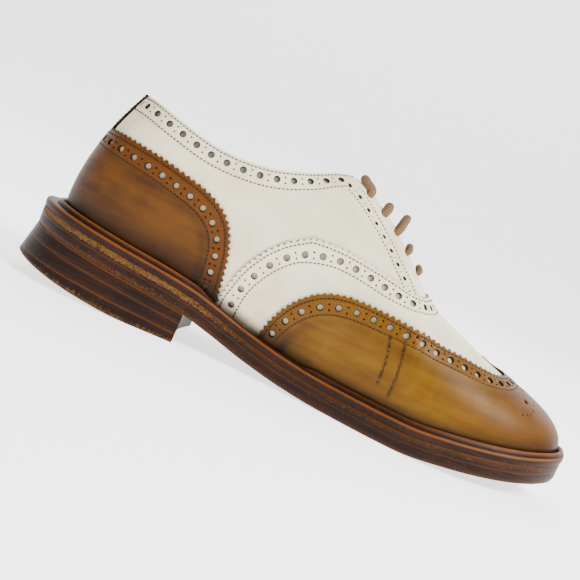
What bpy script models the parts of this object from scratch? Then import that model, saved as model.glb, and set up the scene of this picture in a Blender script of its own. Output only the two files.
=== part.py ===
"""Wing-tip brogue shoe, a left shoe, as the pieces that a shoemaker joins.

Metres, +Z up. +X runs from the heel to the toe and -Y is the inner, big-toe side.
The origin lies on the floor, at the middle of the heel's flat.
"""

import math
from collections import namedtuple
from functools import lru_cache

import bmesh
import bpy
import numpy as np
from mathutils import Matrix, Vector

# Lengths and heights of the whole shoe
SOLE_LENGTH = 0.2935       # over the welt, heel seat to toe tip
BALL_WIDTH = 0.105         # over the welt at the ball
WAIST_WIDTH = 0.066        # over the welt at the arch
HEEL_WIDTH = 0.068         # over the welt at the heel
BACK_HEIGHT = 0.105        # floor to the top of the back seam
COLLAR_HEIGHT = 0.0945     # floor to the lowest point of the collar
INSTEP_HEIGHT = 0.1105     # floor to the top of the facings
VAMP_HEIGHT = 0.0648       # floor to the vamp's crest over the ball
TOE_HEIGHT = 0.0440        # floor to the crest of the toe box
HEEL_HEIGHT = 0.0254       # floor to the heel seat at the back
TOE_SPRING = 0.0125        # floor to the sole's underside at the toe tip
ORIGIN_ALONG = 0.076       # back of the welt to the origin

# Sole and heel
OUTSOLE = 0.0054
MIDSOLE = 0.0042
WELT = 0.0034
RIB_RISE = 0.0022          # height of the storm rib over the welt
RIB_WIDTH = 0.0032
WELT_ROUND = 0.0016        # rounding of the welt's outer edge
SHELF_HEEL = 0.0098        # welt's edge to the leather behind it
SHELF_WAIST = 0.0066
SHELF_TOE = 0.0074
SHELF_TIP = 0.0054
SOLE_TRIM = 0.0006         # how far the outsole's edge is trimmed back from the welt
HEEL_FLARE = 0.0040        # how far the heel grows backwards towards the floor
HEEL_END = 0.0900          # back of the welt to the heel's breast
BREAST_HOLLOW = 0.0032
HEEL_WEAR = 0.0085         # what is worn off the heel's back corner
WEAR_END = 0.0640          # where the worn stretch starts, from the back of the welt

# Leather and the gaps between pieces
GAP = 0.00035
LAYER_GAP = 0.00035        # between an overlay and the leather under it
WALL = 0.0022              # quarters with their lining
OVERLAY = 0.0012           # vamp, wing cap and counter
INSOLE = 0.0030
TONGUE = 0.0020
THROAT_TOP = 0.0088        # gap between the facings at the collar
THROAT_END = 0.0040        # the same at the vamp

# Lacing
EYELETS = 5
EYELET_RADIUS = 0.0021
EYELET_FIRST = 0.0075      # top of the facing to the first eyelet, along the edge
EYELET_PITCH = 0.0125
EYELET_INSET = 0.0090      # facing edge to the eyelet's centre
LACE_RADIUS = 0.0015

TONGUE_HALF = 0.0240       # half the tongue's width, over the instep
TONGUE_LEAD = 0.6          # how far its tip runs past the facing, in stations
TONGUE_TIP = 12.4          # station of its tip's corners
TONGUE_STEPS = 4
TONGUE_STATION = 24        # station where it ends, under the vamp

# Smaller sizes of the pieces
SOLE_ROUND = 0.0009
HEEL_SIDE_FLARE = 0.0010
WELT_CLEAR = 0.0009
INSOLE_CLEAR = 0.0006
TONGUE_CLEAR = 0.0007
CUT_MARGIN = 0.03          # nearest that a rim comes to a grid point, as a share of an edge
LACE_SIDES = 6
BAR_RINGS = 9
BAR_SPOTS = (0.0, 0.35, 0.7, 1.0)   # where a bar rests on the facing, eyelet to edge
EYELET_SIDES = 12
CUTTER_DEPTH = 3.0 * WALL
HEEL_STEPS = 10
HEEL_ACROSS = 4
HEEL_BUNCH = 0.65          # how far the heel's outline steps crowd towards its back
HEEL_BUNCH_POWER = 1.6
WEAR_POWER = 1.5
BULGE_REACH = 0.2          # how far up the wall its bulge over the welt is looked for
BULGE_STEPS = 21
TANGENT_REACH = 0.004      # share of a curve's length that its tangent is taken over
NORMAL_REACH = 0.25        # stations and rise that the wall's normal is taken over
NORMAL_RISE = 0.03
INSET_STEP = 0.002
WELD = 1e-6
SHARP = math.radians(38.0)

LAYER = OVERLAY + LAYER_GAP
INNER, OUTER = -1, 1       # the big-toe side is at -Y

Edge = namedtuple("Edge", "along width inner outer")
OUTLINE = (
    Edge(0.012, HEEL_WIDTH, 0.195, 0.195),
    Edge(0.045, HEEL_WIDTH, 0.360, 0.360),
    Edge(0.095, HEEL_WIDTH, 0.465, 0.470),
    Edge(0.160, HEEL_WIDTH, 0.497, 0.503),
    Edge(0.240, HEEL_WIDTH, 0.475, 0.507),
    Edge(0.330, WAIST_WIDTH, 0.445, 0.550),
    Edge(0.420, WAIST_WIDTH, 0.430, 0.580),
    Edge(0.500, WAIST_WIDTH, 0.500, 0.640),
    Edge(0.590, BALL_WIDTH, 0.375, 0.440),
    Edge(0.670, BALL_WIDTH, 0.450, 0.495),
    Edge(0.740, BALL_WIDTH, 0.486, 0.514),
    Edge(0.810, BALL_WIDTH, 0.475, 0.480),
    Edge(0.880, BALL_WIDTH, 0.430, 0.405),
    Edge(0.940, BALL_WIDTH, 0.338, 0.285),
    Edge(0.982, BALL_WIDTH, 0.205, 0.130),
)
TIP_ACROSS = -0.045        # the toe tip lies towards the inner side, in ball widths

Shelf = namedtuple("Shelf", "along shelf layers")
SHELVES = (
    Shelf(0.00, SHELF_HEEL, 1.0),
    Shelf(0.22, SHELF_HEEL, 1.0),
    Shelf(0.38, SHELF_WAIST, 1.0),
    Shelf(0.52, SHELF_WAIST, 2.0),
    Shelf(0.75, SHELF_TOE, 2.0),
    Shelf(0.90, SHELF_TOE, 2.0),
    Shelf(1.00, SHELF_TIP, 2.0),
)

Bottom = namedtuple("Bottom", "along height")
UNDERSIDE = (
    Bottom(0.000, HEEL_HEIGHT),
    Bottom(0.150, HEEL_HEIGHT * 0.800),
    Bottom(0.305, HEEL_HEIGHT * 0.575),
    Bottom(0.355, HEEL_HEIGHT * 0.435),
    Bottom(0.430, HEEL_HEIGHT * 0.210),
    Bottom(0.500, HEEL_HEIGHT * 0.080),
    Bottom(0.570, HEEL_HEIGHT * 0.012),
    Bottom(0.620, 0.0),
    Bottom(0.700, 0.0),
    Bottom(0.790, TOE_SPRING * 0.185),
    Bottom(0.880, TOE_SPRING * 0.475),
    Bottom(1.000, TOE_SPRING),
)

# Seams of the heel, as shares of the seat's height at the breast and at the back
LIFT_SEAMS = ((0.667, 0.750), (0.310, 0.440))

# What is left of the rib along the inner side, by share of that side
Pared = namedtuple("Pared", "share rise")
RIB_PARED = (
    Pared(0.00, 1.0), Pared(0.32, 1.0), Pared(0.36, 0.15), Pared(0.50, 0.15),
    Pared(0.53, 1.0), Pared(1.00, 1.0),
)

Line = namedtuple("Line", "along across height")
COLLAR = (
    Line(0.0950, 0.000, BACK_HEIGHT),
    Line(0.1010, 0.165, BACK_HEIGHT * 0.992),
    Line(0.1240, 0.290, BACK_HEIGHT * 0.972),
    Line(0.1750, 0.370, BACK_HEIGHT * 0.932),
    Line(0.2550, 0.400, COLLAR_HEIGHT),
    Line(0.3350, 0.370, COLLAR_HEIGHT * 1.022),
    Line(0.4000, 0.265, COLLAR_HEIGHT * 1.085),
    Line(0.4450, 0.130, COLLAR_HEIGHT * 1.148),
)
CREST = (
    Line(0.4680, 0.0, INSTEP_HEIGHT),
    Line(0.4950, 0.0, INSTEP_HEIGHT * 0.966),
    Line(0.5420, 0.0, INSTEP_HEIGHT * 0.896),
    Line(0.5830, 0.0, INSTEP_HEIGHT * 0.822),
    Line(0.6200, 0.0, INSTEP_HEIGHT * 0.741),
    Line(0.6550, 0.0, INSTEP_HEIGHT * 0.669),
    Line(0.6950, 0.0, VAMP_HEIGHT),
    Line(0.7600, 0.0, VAMP_HEIGHT * 0.882),
    Line(0.8150, 0.0, VAMP_HEIGHT * 0.785),
    Line(0.8900, 0.0, TOE_HEIGHT),
)
THROAT_SHARE = 0.478       # share of the crest line that the throat takes

# One row a section of the upper, from the back seam round one side to the toe tip.
# foot and top are shares of the sole's side and of the collar (0 to 1) and crest (1 to 2).
# turn is the way the wall faces at its top, 180 back and 0 forwards; dip is its fall there.
# lean is the wall's outward slope at the foot; the two pulls are shares of the wall's height.
Section = namedtuple("Section", "station foot top turn dip lean foot_pull top_pull")
SECTIONS = (
    Section(0, 0.000, 0.00, 180.0, 62.0, 0.10, 0.36, 0.32),
    Section(3, 0.075, 0.16, 128.0, 70.0, 0.16, 0.36, 0.32),
    Section(6, 0.175, 0.38, 95.0, 76.0, 0.24, 0.36, 0.32),
    Section(9, 0.280, 0.66, 90.0, 72.0, 0.30, 0.36, 0.32),
    Section(13, 0.430, 1.00, 90.0, 24.0, 0.34, 0.42, 0.34),
    Section(17, 0.555, 1.24, 90.0, 14.0, 0.24, 0.42, 0.36),
    Section(23, 0.655, 1.478, 90.0, 0.0, 0.16, 0.44, 0.42),
    Section(27, 0.755, 1.78, 90.0, 0.0, 0.16, 0.44, 0.46),
    Section(30, 0.845, 1.93, 66.0, 0.0, 0.26, 0.42, 0.46),
    Section(33, 0.925, 1.98, 33.0, 0.0, 0.36, 0.40, 0.46),
    Section(36, 1.000, 2.00, 0.0, 0.0, 0.40, 0.40, 0.46),
)
STATIONS = SECTIONS[-1].station
CORNER_STATION = 13
THROAT_STATION = 23
ROWS = 10


def monotone(xs, ys, x):
    """Smooth value at x through the points, with no overshoot between them."""
    xs, ys = np.asarray(xs, float), np.asarray(ys, float)
    step = np.diff(xs)
    slope = np.diff(ys) / step
    tangent = np.empty_like(ys)
    tangent[0], tangent[-1] = slope[0], slope[-1]
    for i in range(1, len(xs) - 1):
        before, after = slope[i - 1], slope[i]
        if before * after <= 0.0:
            tangent[i] = 0.0
        else:
            w1 = 2.0 * step[i] + step[i - 1]
            w2 = step[i] + 2.0 * step[i - 1]
            tangent[i] = (w1 + w2) / (w1 / before + w2 / after)
    i = int(np.clip(np.searchsorted(xs, x) - 1, 0, len(step) - 1))
    t = np.clip((x - xs[i]) / step[i], 0.0, 1.0)
    h00 = (1.0 + 2.0 * t) * (1.0 - t) ** 2
    h10 = t * (1.0 - t) ** 2
    h01 = t * t * (3.0 - 2.0 * t)
    h11 = t * t * (t - 1.0)
    return float(h00 * ys[i] + h10 * step[i] * tangent[i] + h01 * ys[i + 1] + h11 * step[i] * tangent[i + 1])


def column(rows, key, name, x):
    """One column of a table, read smoothly at x along its key column."""
    return monotone([getattr(r, key) for r in rows], [getattr(r, name) for r in rows], x)


class Curve:
    """A smooth curve through points, read by its share of length or by its X."""

    FINE = 24

    def __init__(self, points, closed=False):
        pts = np.asarray(points, float)
        count = len(pts)
        spans = count if closed else count - 1
        fine = []
        for i in range(spans):
            p1, p2 = pts[i], pts[(i + 1) % count]
            p0 = pts[(i - 1) % count] if closed or i > 0 else 2.0 * p1 - p2
            p3 = pts[(i + 2) % count] if closed or i < spans - 1 else 2.0 * p2 - p1
            d0, d1, d2 = (math.sqrt(np.linalg.norm(b - a)) for a, b in ((p0, p1), (p1, p2), (p2, p3)))
            m1 = (p1 - p0) / d0 - (p2 - p0) / (d0 + d1) + (p2 - p1) / d1
            m2 = (p2 - p1) / d1 - (p3 - p1) / (d1 + d2) + (p3 - p2) / d2
            for t in np.linspace(0.0, 1.0, self.FINE, endpoint=False):
                h = (2 * t**3 - 3 * t**2 + 1, t**3 - 2 * t**2 + t, 3 * t**2 - 2 * t**3, t**3 - t**2)
                fine.append(h[0] * p1 + h[1] * d1 * m1 + h[2] * p2 + h[3] * d1 * m2)
        if not closed:
            fine.append(pts[-1])
        self.measure(np.array(fine))

    def measure(self, fine):
        """Keep the fine points and their running length."""
        self.points = fine
        self.run = np.concatenate(([0.0], np.cumsum(np.linalg.norm(np.diff(fine, axis=0), axis=1))))
        self.length = self.run[-1]
        return self

    @classmethod
    def through(cls, fine):
        """A curve made straight from fine points."""
        return cls.__new__(cls).measure(np.asarray(fine))

    def at(self, share):
        """Point at a share of the length."""
        s = min(max(share, 0.0), 1.0) * self.length
        return np.array([np.interp(s, self.run, self.points[:, k]) for k in range(self.points.shape[1])])

    def tangent(self, share):
        """Unit direction at a share of the length."""
        d = self.at(share + TANGENT_REACH) - self.at(share - TANGENT_REACH)
        return d / np.linalg.norm(d)

    def share_at(self, along):
        """Share of the length at which the curve passes an X."""
        return float(np.interp(along, self.points[:, 0], self.run) / self.length)


def edge_curves():
    """The welt's outline as one curve a side, from the heel's back to the toe tip."""
    inner = [(r.along * SOLE_LENGTH, -r.inner * r.width) for r in OUTLINE]
    outer = [(r.along * SOLE_LENGTH, r.outer * r.width) for r in OUTLINE]
    tip = (SOLE_LENGTH, TIP_ACROSS * BALL_WIDTH)
    ring = Curve([(0.0, 0.0)] + inner + [tip] + outer[::-1], closed=True).points
    turn = (len(inner) + 1) * Curve.FINE
    return {
        INNER: Curve.through(ring[: turn + 1]),
        OUTER: Curve.through(np.vstack((ring[:1], ring[: turn - 1 : -1]))),
    }


EDGES = edge_curves()


def outward(side, share):
    """Plan direction that points out of the sole's edge."""
    if share <= 0.0:
        return np.array([-1.0, 0.0])
    if share >= 1.0:
        return np.array([1.0, 0.0])
    d = EDGES[side].tangent(share)
    return np.array([-d[1], d[0]]) if side == OUTER else np.array([d[1], -d[0]])


def edge_point(side, share, inset=0.0):
    """Plan point of the sole's edge, moved inwards by an inset."""
    return EDGES[side].at(share) - inset * outward(side, share)


@lru_cache(maxsize=None)
def underside(along):
    """Height of the outsole's underside over the floor."""
    return column(UNDERSIDE, "along", "height", along / SOLE_LENGTH)


def floor_of_upper(along):
    """Height of the midsole's top, on which upper, insole and welt stand."""
    return underside(along) + OUTSOLE + GAP + MIDSOLE


def shelf(along):
    """Width of the welt between its edge and the leather."""
    return column(SHELVES, "along", "shelf", along / SOLE_LENGTH)


def layers(along):
    """How many overlays the quarters carry there."""
    return column(SHELVES, "along", "layers", along / SOLE_LENGTH)


def foot_point(side, station, extra=0.0):
    """Foot of the quarters' outer face, moved inwards by extra."""
    share = section_row(station)["foot"]
    along = EDGES[side].at(share)[0]
    inset = shelf(along) + layers(along) * LAYER + extra
    x, y = edge_point(side, share, inset)
    return np.array([x, y, floor_of_upper(x) + GAP])


def collar_curves():
    """The collar's edge, one curve a side, ending at the top of the facing."""
    curves = {}
    for side in (INNER, OUTER):
        line = [(r.along * SOLE_LENGTH, side * r.across * HEEL_WIDTH, r.height) for r in COLLAR]
        ring = [(p[0], -p[1], p[2]) for p in line[3:0:-1]] + line
        top = (CREST[0].along * SOLE_LENGTH, side * THROAT_TOP / 2.0, CREST[0].height)
        fine = Curve(ring + [top]).points
        curves[side] = Curve.through(fine[3 * Curve.FINE :])
    return curves


COLLARS = collar_curves()
CREST_LINE = Curve([(r.along * SOLE_LENGTH, r.height) for r in CREST])


def crest_point(side, share):
    """Point of the crest line, parted at the throat."""
    x, z = CREST_LINE.at(share)
    part = share / THROAT_SHARE
    half = 0.0
    if part < 1.0:
        half = (THROAT_TOP + (THROAT_END - THROAT_TOP) * part) / 2.0
    return np.array([x, side * half, z])


@lru_cache(maxsize=None)
def section_row(station):
    """The section table's values at a station."""
    return {name: column(SECTIONS, "station", name, station) for name in Section._fields[1:]}


@lru_cache(maxsize=None)
def wall_section(side, station):
    """The four control points of the upper's section at a station."""
    row = section_row(station)
    foot = foot_point(side, station)
    if row["top"] <= 1.0:
        top = COLLARS[side].at(row["top"])
        fall = 0.0
    else:
        top = crest_point(side, row["top"] - 1.0)
        d = CREST_LINE.tangent(row["top"] - 1.0)
        fall = math.atan2(-d[1], d[0])
    height = np.linalg.norm(top - foot)
    out = outward(side, row["foot"])
    up = np.array([row["lean"] * out[0], row["lean"] * out[1], 1.0])
    up /= np.linalg.norm(up)
    turn, dip = math.radians(row["turn"]), math.radians(row["dip"])
    forward = np.array([math.cos(fall), 0.0, -math.sin(fall)])
    down = math.cos(turn) * forward + math.sin(turn) * np.array([0.0, float(side), 0.0])
    down = math.cos(dip) * down + math.sin(dip) * np.array([0.0, 0.0, -1.0])
    return foot, foot + row["foot_pull"] * height * up, top + row["top_pull"] * height * down, top


def wall_point(side, station, v):
    """Point of the quarters' outer face, v from 0 at the foot to 1 at the top."""
    p = wall_section(side, station)
    return (1 - v) ** 3 * p[0] + 3 * v * (1 - v) ** 2 * p[1] + 3 * v * v * (1 - v) * p[2] + v**3 * p[3]


def wall_normal(side, station, v):
    """Unit normal that points out of the shoe."""
    if v >= 1.0 and station >= THROAT_STATION:
        d = CREST_LINE.tangent(section_row(station)["top"] - 1.0)
        return np.array([-d[1], 0.0, d[0]])
    s0, s1 = max(station - NORMAL_REACH, 0.0), min(station + NORMAL_REACH, STATIONS)
    v0, v1 = max(v - NORMAL_RISE, 0.0), min(v + NORMAL_RISE, 1.0)
    along = wall_point(side, s1, v) - wall_point(side, s0, v)
    if s0 == 0.0:
        along = np.array([0.0, float(side), 0.0])
    if s1 == STATIONS:
        along = np.array([0.0, -float(side), 0.0])
    up = wall_point(side, station, v1) - wall_point(side, station, v0)
    n = np.cross(up, along) if side == OUTER else np.cross(along, up)
    return n / np.linalg.norm(n)


def skin(side, station, v, lift):
    """Point at a height over the quarters' outer face, or under it, clear of the midsole."""
    x, y, z = wall_point(side, station, v) + lift * wall_normal(side, station, v)
    return np.array([x, y, max(z, floor_of_upper(x) + GAP)])


# Upper edges of the overlays, by station and share v of the way up, foot first.
# The counter's edge ends as the strap over the back seam, the wing cap's as its centre peak.
Rim = namedtuple("Rim", "station v")
VAMP_RIM = (
    Rim(11.25, -0.20), Rim(11.25, 0.10), Rim(11.30, 0.24), Rim(11.50, 0.36), Rim(12.10, 0.46),
    Rim(12.80, 0.515), Rim(13.80, 0.545), Rim(15.25, 0.575), Rim(17.50, 0.61), Rim(19.50, 0.65),
    Rim(21.50, 0.70), Rim(22.50, 0.78), Rim(23.25, 0.89), Rim(23.60, 1.00), Rim(23.60, 1.30),
)
WING_RIM = (
    Rim(13.00, -0.20), Rim(13.10, 0.06), Rim(13.60, 0.22), Rim(14.00, 0.29), Rim(14.90, 0.36),
    Rim(16.10, 0.41), Rim(18.25, 0.45), Rim(20.90, 0.475), Rim(24.90, 0.58), Rim(27.60, 0.69),
    Rim(28.80, 0.77), Rim(29.90, 0.835), Rim(30.20, 0.88), Rim(29.70, 0.925), Rim(28.60, 0.955),
    Rim(26.40, 1.00), Rim(26.40, 1.30),
)
COUNTER_RIM = (
    Rim(11.10, -0.20), Rim(11.05, 0.06), Rim(10.95, 0.15), Rim(10.70, 0.27), Rim(9.90, 0.44),
    Rim(8.60, 0.59), Rim(7.10, 0.675), Rim(4.75, 0.695), Rim(2.00, 0.660), Rim(0.95, 0.66),
    Rim(0.75, 0.72), Rim(0.75, 0.90), Rim(0.90, 1.30),
)
RIM_SCALE = 11.0           # stations that the way up counts for, when distances are taken


def placed(point):
    """A point of the shoe in the part's own frame."""
    return Vector((point[0] - ORIGIN_ALONG, point[1], point[2]))


def paint(name, color, roughness):
    """A plain Principled material."""
    material = bpy.data.materials.new(name)
    material.use_nodes = True
    shader = material.node_tree.nodes["Principled BSDF"]
    shader.inputs["Base Color"].default_value = (*color, 1.0)
    shader.inputs["Roughness"].default_value = roughness
    shader.inputs["Metallic"].default_value = 0.0
    return material


def finish(name, verts, faces, material):
    """Weld the points into one closed mesh object with its faces pointing out."""
    mesh = bpy.data.meshes.new(name)
    body = bmesh.new()
    made = [body.verts.new(placed(p)) for p in verts]
    for face in faces:
        body.faces.new([made[i] for i in face])
    bmesh.ops.remove_doubles(body, verts=body.verts, dist=WELD)
    bmesh.ops.triangulate(body, faces=body.faces)
    bmesh.ops.recalc_face_normals(body, faces=body.faces)
    body.to_mesh(mesh)
    body.free()
    mesh.materials.append(material)
    mesh.shade_smooth()
    mesh.set_sharp_from_angle(angle=SHARP)
    thing = bpy.data.objects.new(name, mesh)
    bpy.context.scene.collection.objects.link(thing)
    return thing


def walk_round():
    """Side and station of each column round the upper, from the back seam round the toe."""
    inner = [(INNER, s) for s in range(STATIONS + 1)]
    return inner + [(OUTER, s) for s in range(STATIONS - 1, 0, -1)]


def grid_key(side, station, row):
    """Name of a grid point, the same from both sides where the sides meet."""
    on_crest = row == ROWS and station >= THROAT_STATION
    shared = station in (0, STATIONS) or on_crest
    return (INNER if shared else side, station, row)


def rim_distance(rims, forward, key):
    """Signed distance of a grid point from a rim, positive on the piece's own side."""
    s, v = key[1], key[2] / ROWS
    near, crossings = 1e9, 0
    for a, b in zip(rims[:-1], rims[1:]):
        along = np.array([b.station - a.station, (b.v - a.v) * RIM_SCALE])
        to = np.array([s - a.station, (v - a.v) * RIM_SCALE])
        t = min(max(float(along @ to) / float(along @ along), 0.0), 1.0)
        near = min(near, float(np.linalg.norm(to - t * along)))
        if (a.v > v) != (b.v > v):
            at = a.station + (b.station - a.station) * (v - a.v) / (b.v - a.v)
            crossings += (at < s) if forward else (at > s)
    return near if crossings % 2 else -near


def clipped(triangle, distance):
    """The part of a triangle on the positive side, as corners and cut corners."""
    kept = []
    for i, a in enumerate(triangle):
        b = triangle[(i + 1) % 3]
        da, db = distance[a], distance[b]
        if da > 0.0:
            kept.append((a, a, 0.0))
        if (da > 0.0) != (db > 0.0):
            low, high = (a, b) if a < b else (b, a)
            share = distance[low] / (distance[low] - distance[high])
            kept.append((low, high, min(max(share, CUT_MARGIN), 1.0 - CUT_MARGIN)))
    return kept


def layer(name, outer, inner, material, rims=None, forward=True):
    """A sheet of leather between two heights over the quarters' face, cut along a rim.

    Every layer is cut from the same triangles, so that neighbours stay parallel.
    """
    walk = walk_round()
    triangles = []
    for i, (side, station) in enumerate(walk):
        next_side, next_station = walk[(i + 1) % len(walk)]
        for row in range(ROWS):
            a, b = grid_key(side, station, row), grid_key(next_side, next_station, row)
            c = grid_key(next_side, next_station, row + 1)
            d = grid_key(side, station, row + 1)
            triangles += [(a, b, c), (a, c, d)]
    keys = {key for triangle in triangles for key in triangle}
    if rims is None:
        distance = dict.fromkeys(keys, 1.0)
    else:
        distance = {key: rim_distance(rims, forward, key) for key in keys}
    skins = [{k: skin(k[0], k[1], k[2] / ROWS, lift) for k in keys} for lift in (outer, inner)]
    index, verts, faces, edges = {}, [], [], {}
    for triangle in triangles:
        corners = clipped(triangle, distance)
        if len(corners) < 3:
            continue
        for corner in corners:
            if corner not in index:
                index[corner] = len(verts)
                for points in skins:
                    verts.append(points[corner[0]] * (1.0 - corner[2]) + points[corner[1]] * corner[2])
        loop = [index[corner] for corner in corners]
        faces.append(tuple(loop))
        faces.append(tuple(i + 1 for i in reversed(loop)))
        for a, b in zip(loop, loop[1:] + loop[:1]):
            edges[(a, b)] = edges.get((a, b), 0) + 1
    for a, b in edges:
        if (b, a) not in edges:
            faces.append((b, a, a + 1, b + 1))
    return finish(name, verts, faces, material)


def shell(name, columns, material):
    """A sheet between an outer and an inner skin, each column given as its two rows of points."""
    verts, faces = [], []
    for outer, inner in columns:
        verts.extend(outer)
        verts.extend(inner)
    rows = len(columns[0][0])
    step = 2 * rows
    count = len(columns)
    for i in range(count - 1):
        a, b = i * step, (i + 1) * step
        for j in range(rows - 1):
            for first, flip in ((0, 1), (rows, -1)):
                c, d = a + first + j, b + first + j
                faces.append((c, d, d + 1)[::flip])
                faces.append((c, d + 1, c + 1)[::flip])
        faces.append((a, a + rows, b + rows, b))
        faces.append((a + rows - 1, b + rows - 1, b + step - 1, a + step - 1))
    for a, flip in ((0, 1), ((count - 1) * step, -1)):
        for j in range(rows - 1):
            faces.append((a + j, a + j + 1, a + rows + j + 1, a + rows + j)[::flip])
    return finish(name, verts, faces, material)


def block(name, levels, material):
    """A solid between level surfaces that share their stations.

    Each level is a list of rows from back to front, and each row holds points from the inner
    side to the outer. The first level is the top and the last is the underside.
    """
    verts, faces = [], []
    rows, across = len(levels[0]), len(levels[0][0])
    size = rows * across
    for level in levels:
        for row in level:
            verts.extend(row)
    rim = [i * across for i in range(rows)]
    rim += [(rows - 1) * across + j for j in range(1, across)]
    rim += [i * across + across - 1 for i in range(rows - 2, -1, -1)]
    rim += [j for j in range(across - 2, 0, -1)]
    for base, flip in ((0, 1), ((len(levels) - 1) * size, -1)):
        for i in range(rows - 1):
            for j in range(across - 1):
                a = base + i * across + j
                faces.append((a, a + across, a + across + 1, a + 1)[::flip])
    for level in range(len(levels) - 1):
        top, low = level * size, (level + 1) * size
        for i, a in enumerate(rim):
            b = rim[(i + 1) % len(rim)]
            faces.append((top + a, low + a, low + b, top + b))
    return finish(name, verts, faces, material)


def level_rows(point, height, stations, across=1):
    """Rows of one level: plan points across the shoe, each put at the height there."""
    rows = []
    for station in stations:
        inner, outer = point(INNER, station)[:2], point(OUTER, station)[:2]
        row = []
        for j in range(across + 1):
            x, y = inner + (outer - inner) * j / across
            row.append((x, y, height(x)))
        rows.append(row)
    return rows


def foot_share(station):
    """Share of the sole's side at a station."""
    return section_row(station)["foot"]


def sole_rows(inset, height):
    """Rows of a level of the sole, at an inset from the welt's edge."""
    return level_rows(lambda side, s: edge_point(side, foot_share(s), inset), height, range(STATIONS + 1))


def over(line, rise):
    """A height line raised by a distance."""
    return lambda along: line(along) + rise


def make_outsole(material):
    """The outsole, trimmed back from the welt and rounded at its lower edge."""
    return block("outsole", [
        sole_rows(SOLE_TRIM, over(underside, OUTSOLE)),
        sole_rows(SOLE_TRIM, over(underside, SOLE_ROUND)),
        sole_rows(SOLE_TRIM + SOLE_ROUND, underside),
    ], material)


def make_midsole(material):
    """The midsole between outsole and welt, which closes the upper from below."""
    return block("midsole", [
        sole_rows(SOLE_TRIM / 2.0, floor_of_upper),
        sole_rows(SOLE_TRIM / 2.0, over(underside, OUTSOLE + GAP)),
    ], material)


def heel_share(side, step):
    """Share of the sole's side at a step of the heel's outline."""
    end = EDGES[side].share_at(HEEL_END)
    part = step / HEEL_STEPS
    return end * ((1.0 - HEEL_BUNCH) * part + HEEL_BUNCH * part**HEEL_BUNCH_POWER)


def heel_rows(height):
    """Rows of one level of the heel, flared out to the back and hollow at the breast."""
    rows = []
    for step in range(HEEL_STEPS + 1):
        ends = []
        for side in (INNER, OUTER):
            share = heel_share(side, step)
            out = outward(side, share)
            x = EDGES[side].at(share)[0]
            drop = 1.0 - height(x) / underside(x)
            flare = drop * (HEEL_FLARE * max(-out[0], 0.0) + HEEL_SIDE_FLARE)
            ends.append(edge_point(side, share, SOLE_TRIM - flare))
        row = []
        for j in range(HEEL_ACROSS + 1):
            t = j / HEEL_ACROSS
            x, y = ends[0] + (ends[1] - ends[0]) * t
            if step == HEEL_STEPS:
                x -= BREAST_HOLLOW * (1.0 - (2.0 * t - 1.0) ** 2)
            row.append((x, y, height(x)))
        rows.append(row)
    return rows


def worn(along):
    """Height of the heel's underside, worn off towards the back."""
    part = (WEAR_END - along) / WEAR_END
    return HEEL_WEAR * part**WEAR_POWER if part > 0.0 else 0.0


def lift_line(breast, back):
    """Height of a seam of the heel, as shares of the seat at breast and back."""
    return lambda x: underside(x) * (back + (breast - back) * min(max(x / HEEL_END, 0.0), 1.0))


def make_heel(material, top_material):
    """The stacked heel: two lifts and the top piece that stands on the floor."""
    seams = [lift_line(*row) for row in LIFT_SEAMS]
    block("heel_lift_upper", [heel_rows(over(underside, -GAP)), heel_rows(seams[0])], material)
    block("heel_lift_lower", [heel_rows(over(seams[0], -GAP)), heel_rows(seams[1])], material)
    block("heel_top_piece", [heel_rows(over(seams[1], -GAP)), heel_rows(worn)], top_material)


def bulge(side, station, rise):
    """How far the leather stands out over its foot, up to a rise."""
    foot = foot_point(side, station)
    out = outward(side, foot_share(station))
    far = 0.0
    for v in np.linspace(0.0, BULGE_REACH, BULGE_STEPS):
        p = wall_point(side, station, v)
        if p[2] < foot[2] + rise:
            far = max(far, float(np.dot(p[:2] - foot[:2], out)))
    return far


def rib_rise(side, share):
    """Height of the storm rib, which is pared flat along the inner waist."""
    if side == OUTER:
        return RIB_RISE
    return RIB_RISE * column(RIB_PARED, "share", "rise", share)


def welt_section(side, station):
    """Closed section of the welt, from its outer foot over the rib to its inner foot."""
    share = foot_share(station)
    along = EDGES[side].at(share)[0]
    wall = shelf(along) - bulge(side, station, WELT + RIB_RISE) - WELT_CLEAR
    rib = rib_rise(side, share)
    profile = (
        (0.0, 0.0),
        (0.0, WELT - WELT_ROUND),
        (WELT_ROUND, WELT),
        (wall - RIB_WIDTH, WELT),
        (wall - 0.75 * RIB_WIDTH, WELT + 0.80 * rib),
        (wall - 0.40 * RIB_WIDTH, WELT + rib),
        (wall, WELT + 0.80 * rib),
        (wall, 0.0),
    )
    points = []
    for inset, rise in profile:
        x, y = edge_point(side, share, inset)
        points.append((x, y, floor_of_upper(x) + GAP + rise))
    return points


def make_welt(material):
    """The storm welt, one ring round the upper."""
    walk = walk_round()
    verts, faces = [], []
    for side, station in walk:
        verts.extend(welt_section(side, station))
    size = len(verts) // len(walk)
    for i in range(len(walk)):
        a, b = i * size, ((i + 1) % len(walk)) * size
        for j in range(size):
            k = (j + 1) % size
            faces.append((a + j, b + j, b + k, a + k))
    return finish("welt", verts, faces, material)


def insole_point(side, station):
    """Foot of the wall's inner face, with the insole's clearance."""
    return foot_point(side, station, WALL + INSOLE_CLEAR)


def make_insole(material):
    """The insole, which fills the bottom of the upper."""
    stations = range(STATIONS + 1)
    return block("insole", [
        level_rows(insole_point, over(floor_of_upper, GAP + INSOLE), stations),
        level_rows(insole_point, over(floor_of_upper, GAP), stations),
    ], material)


def make_upper(material, cutters):
    """The quarters: one hollow wall, open at collar, throat and foot, with its eyelets."""
    upper = layer("upper", 0.0, -WALL, material)
    for cutter in cutters:
        cut = upper.modifiers.new(cutter.name, "BOOLEAN")
        cut.object = cutter
        cut.operation = "DIFFERENCE"
        cut.solver = "EXACT"
    return upper


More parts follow.
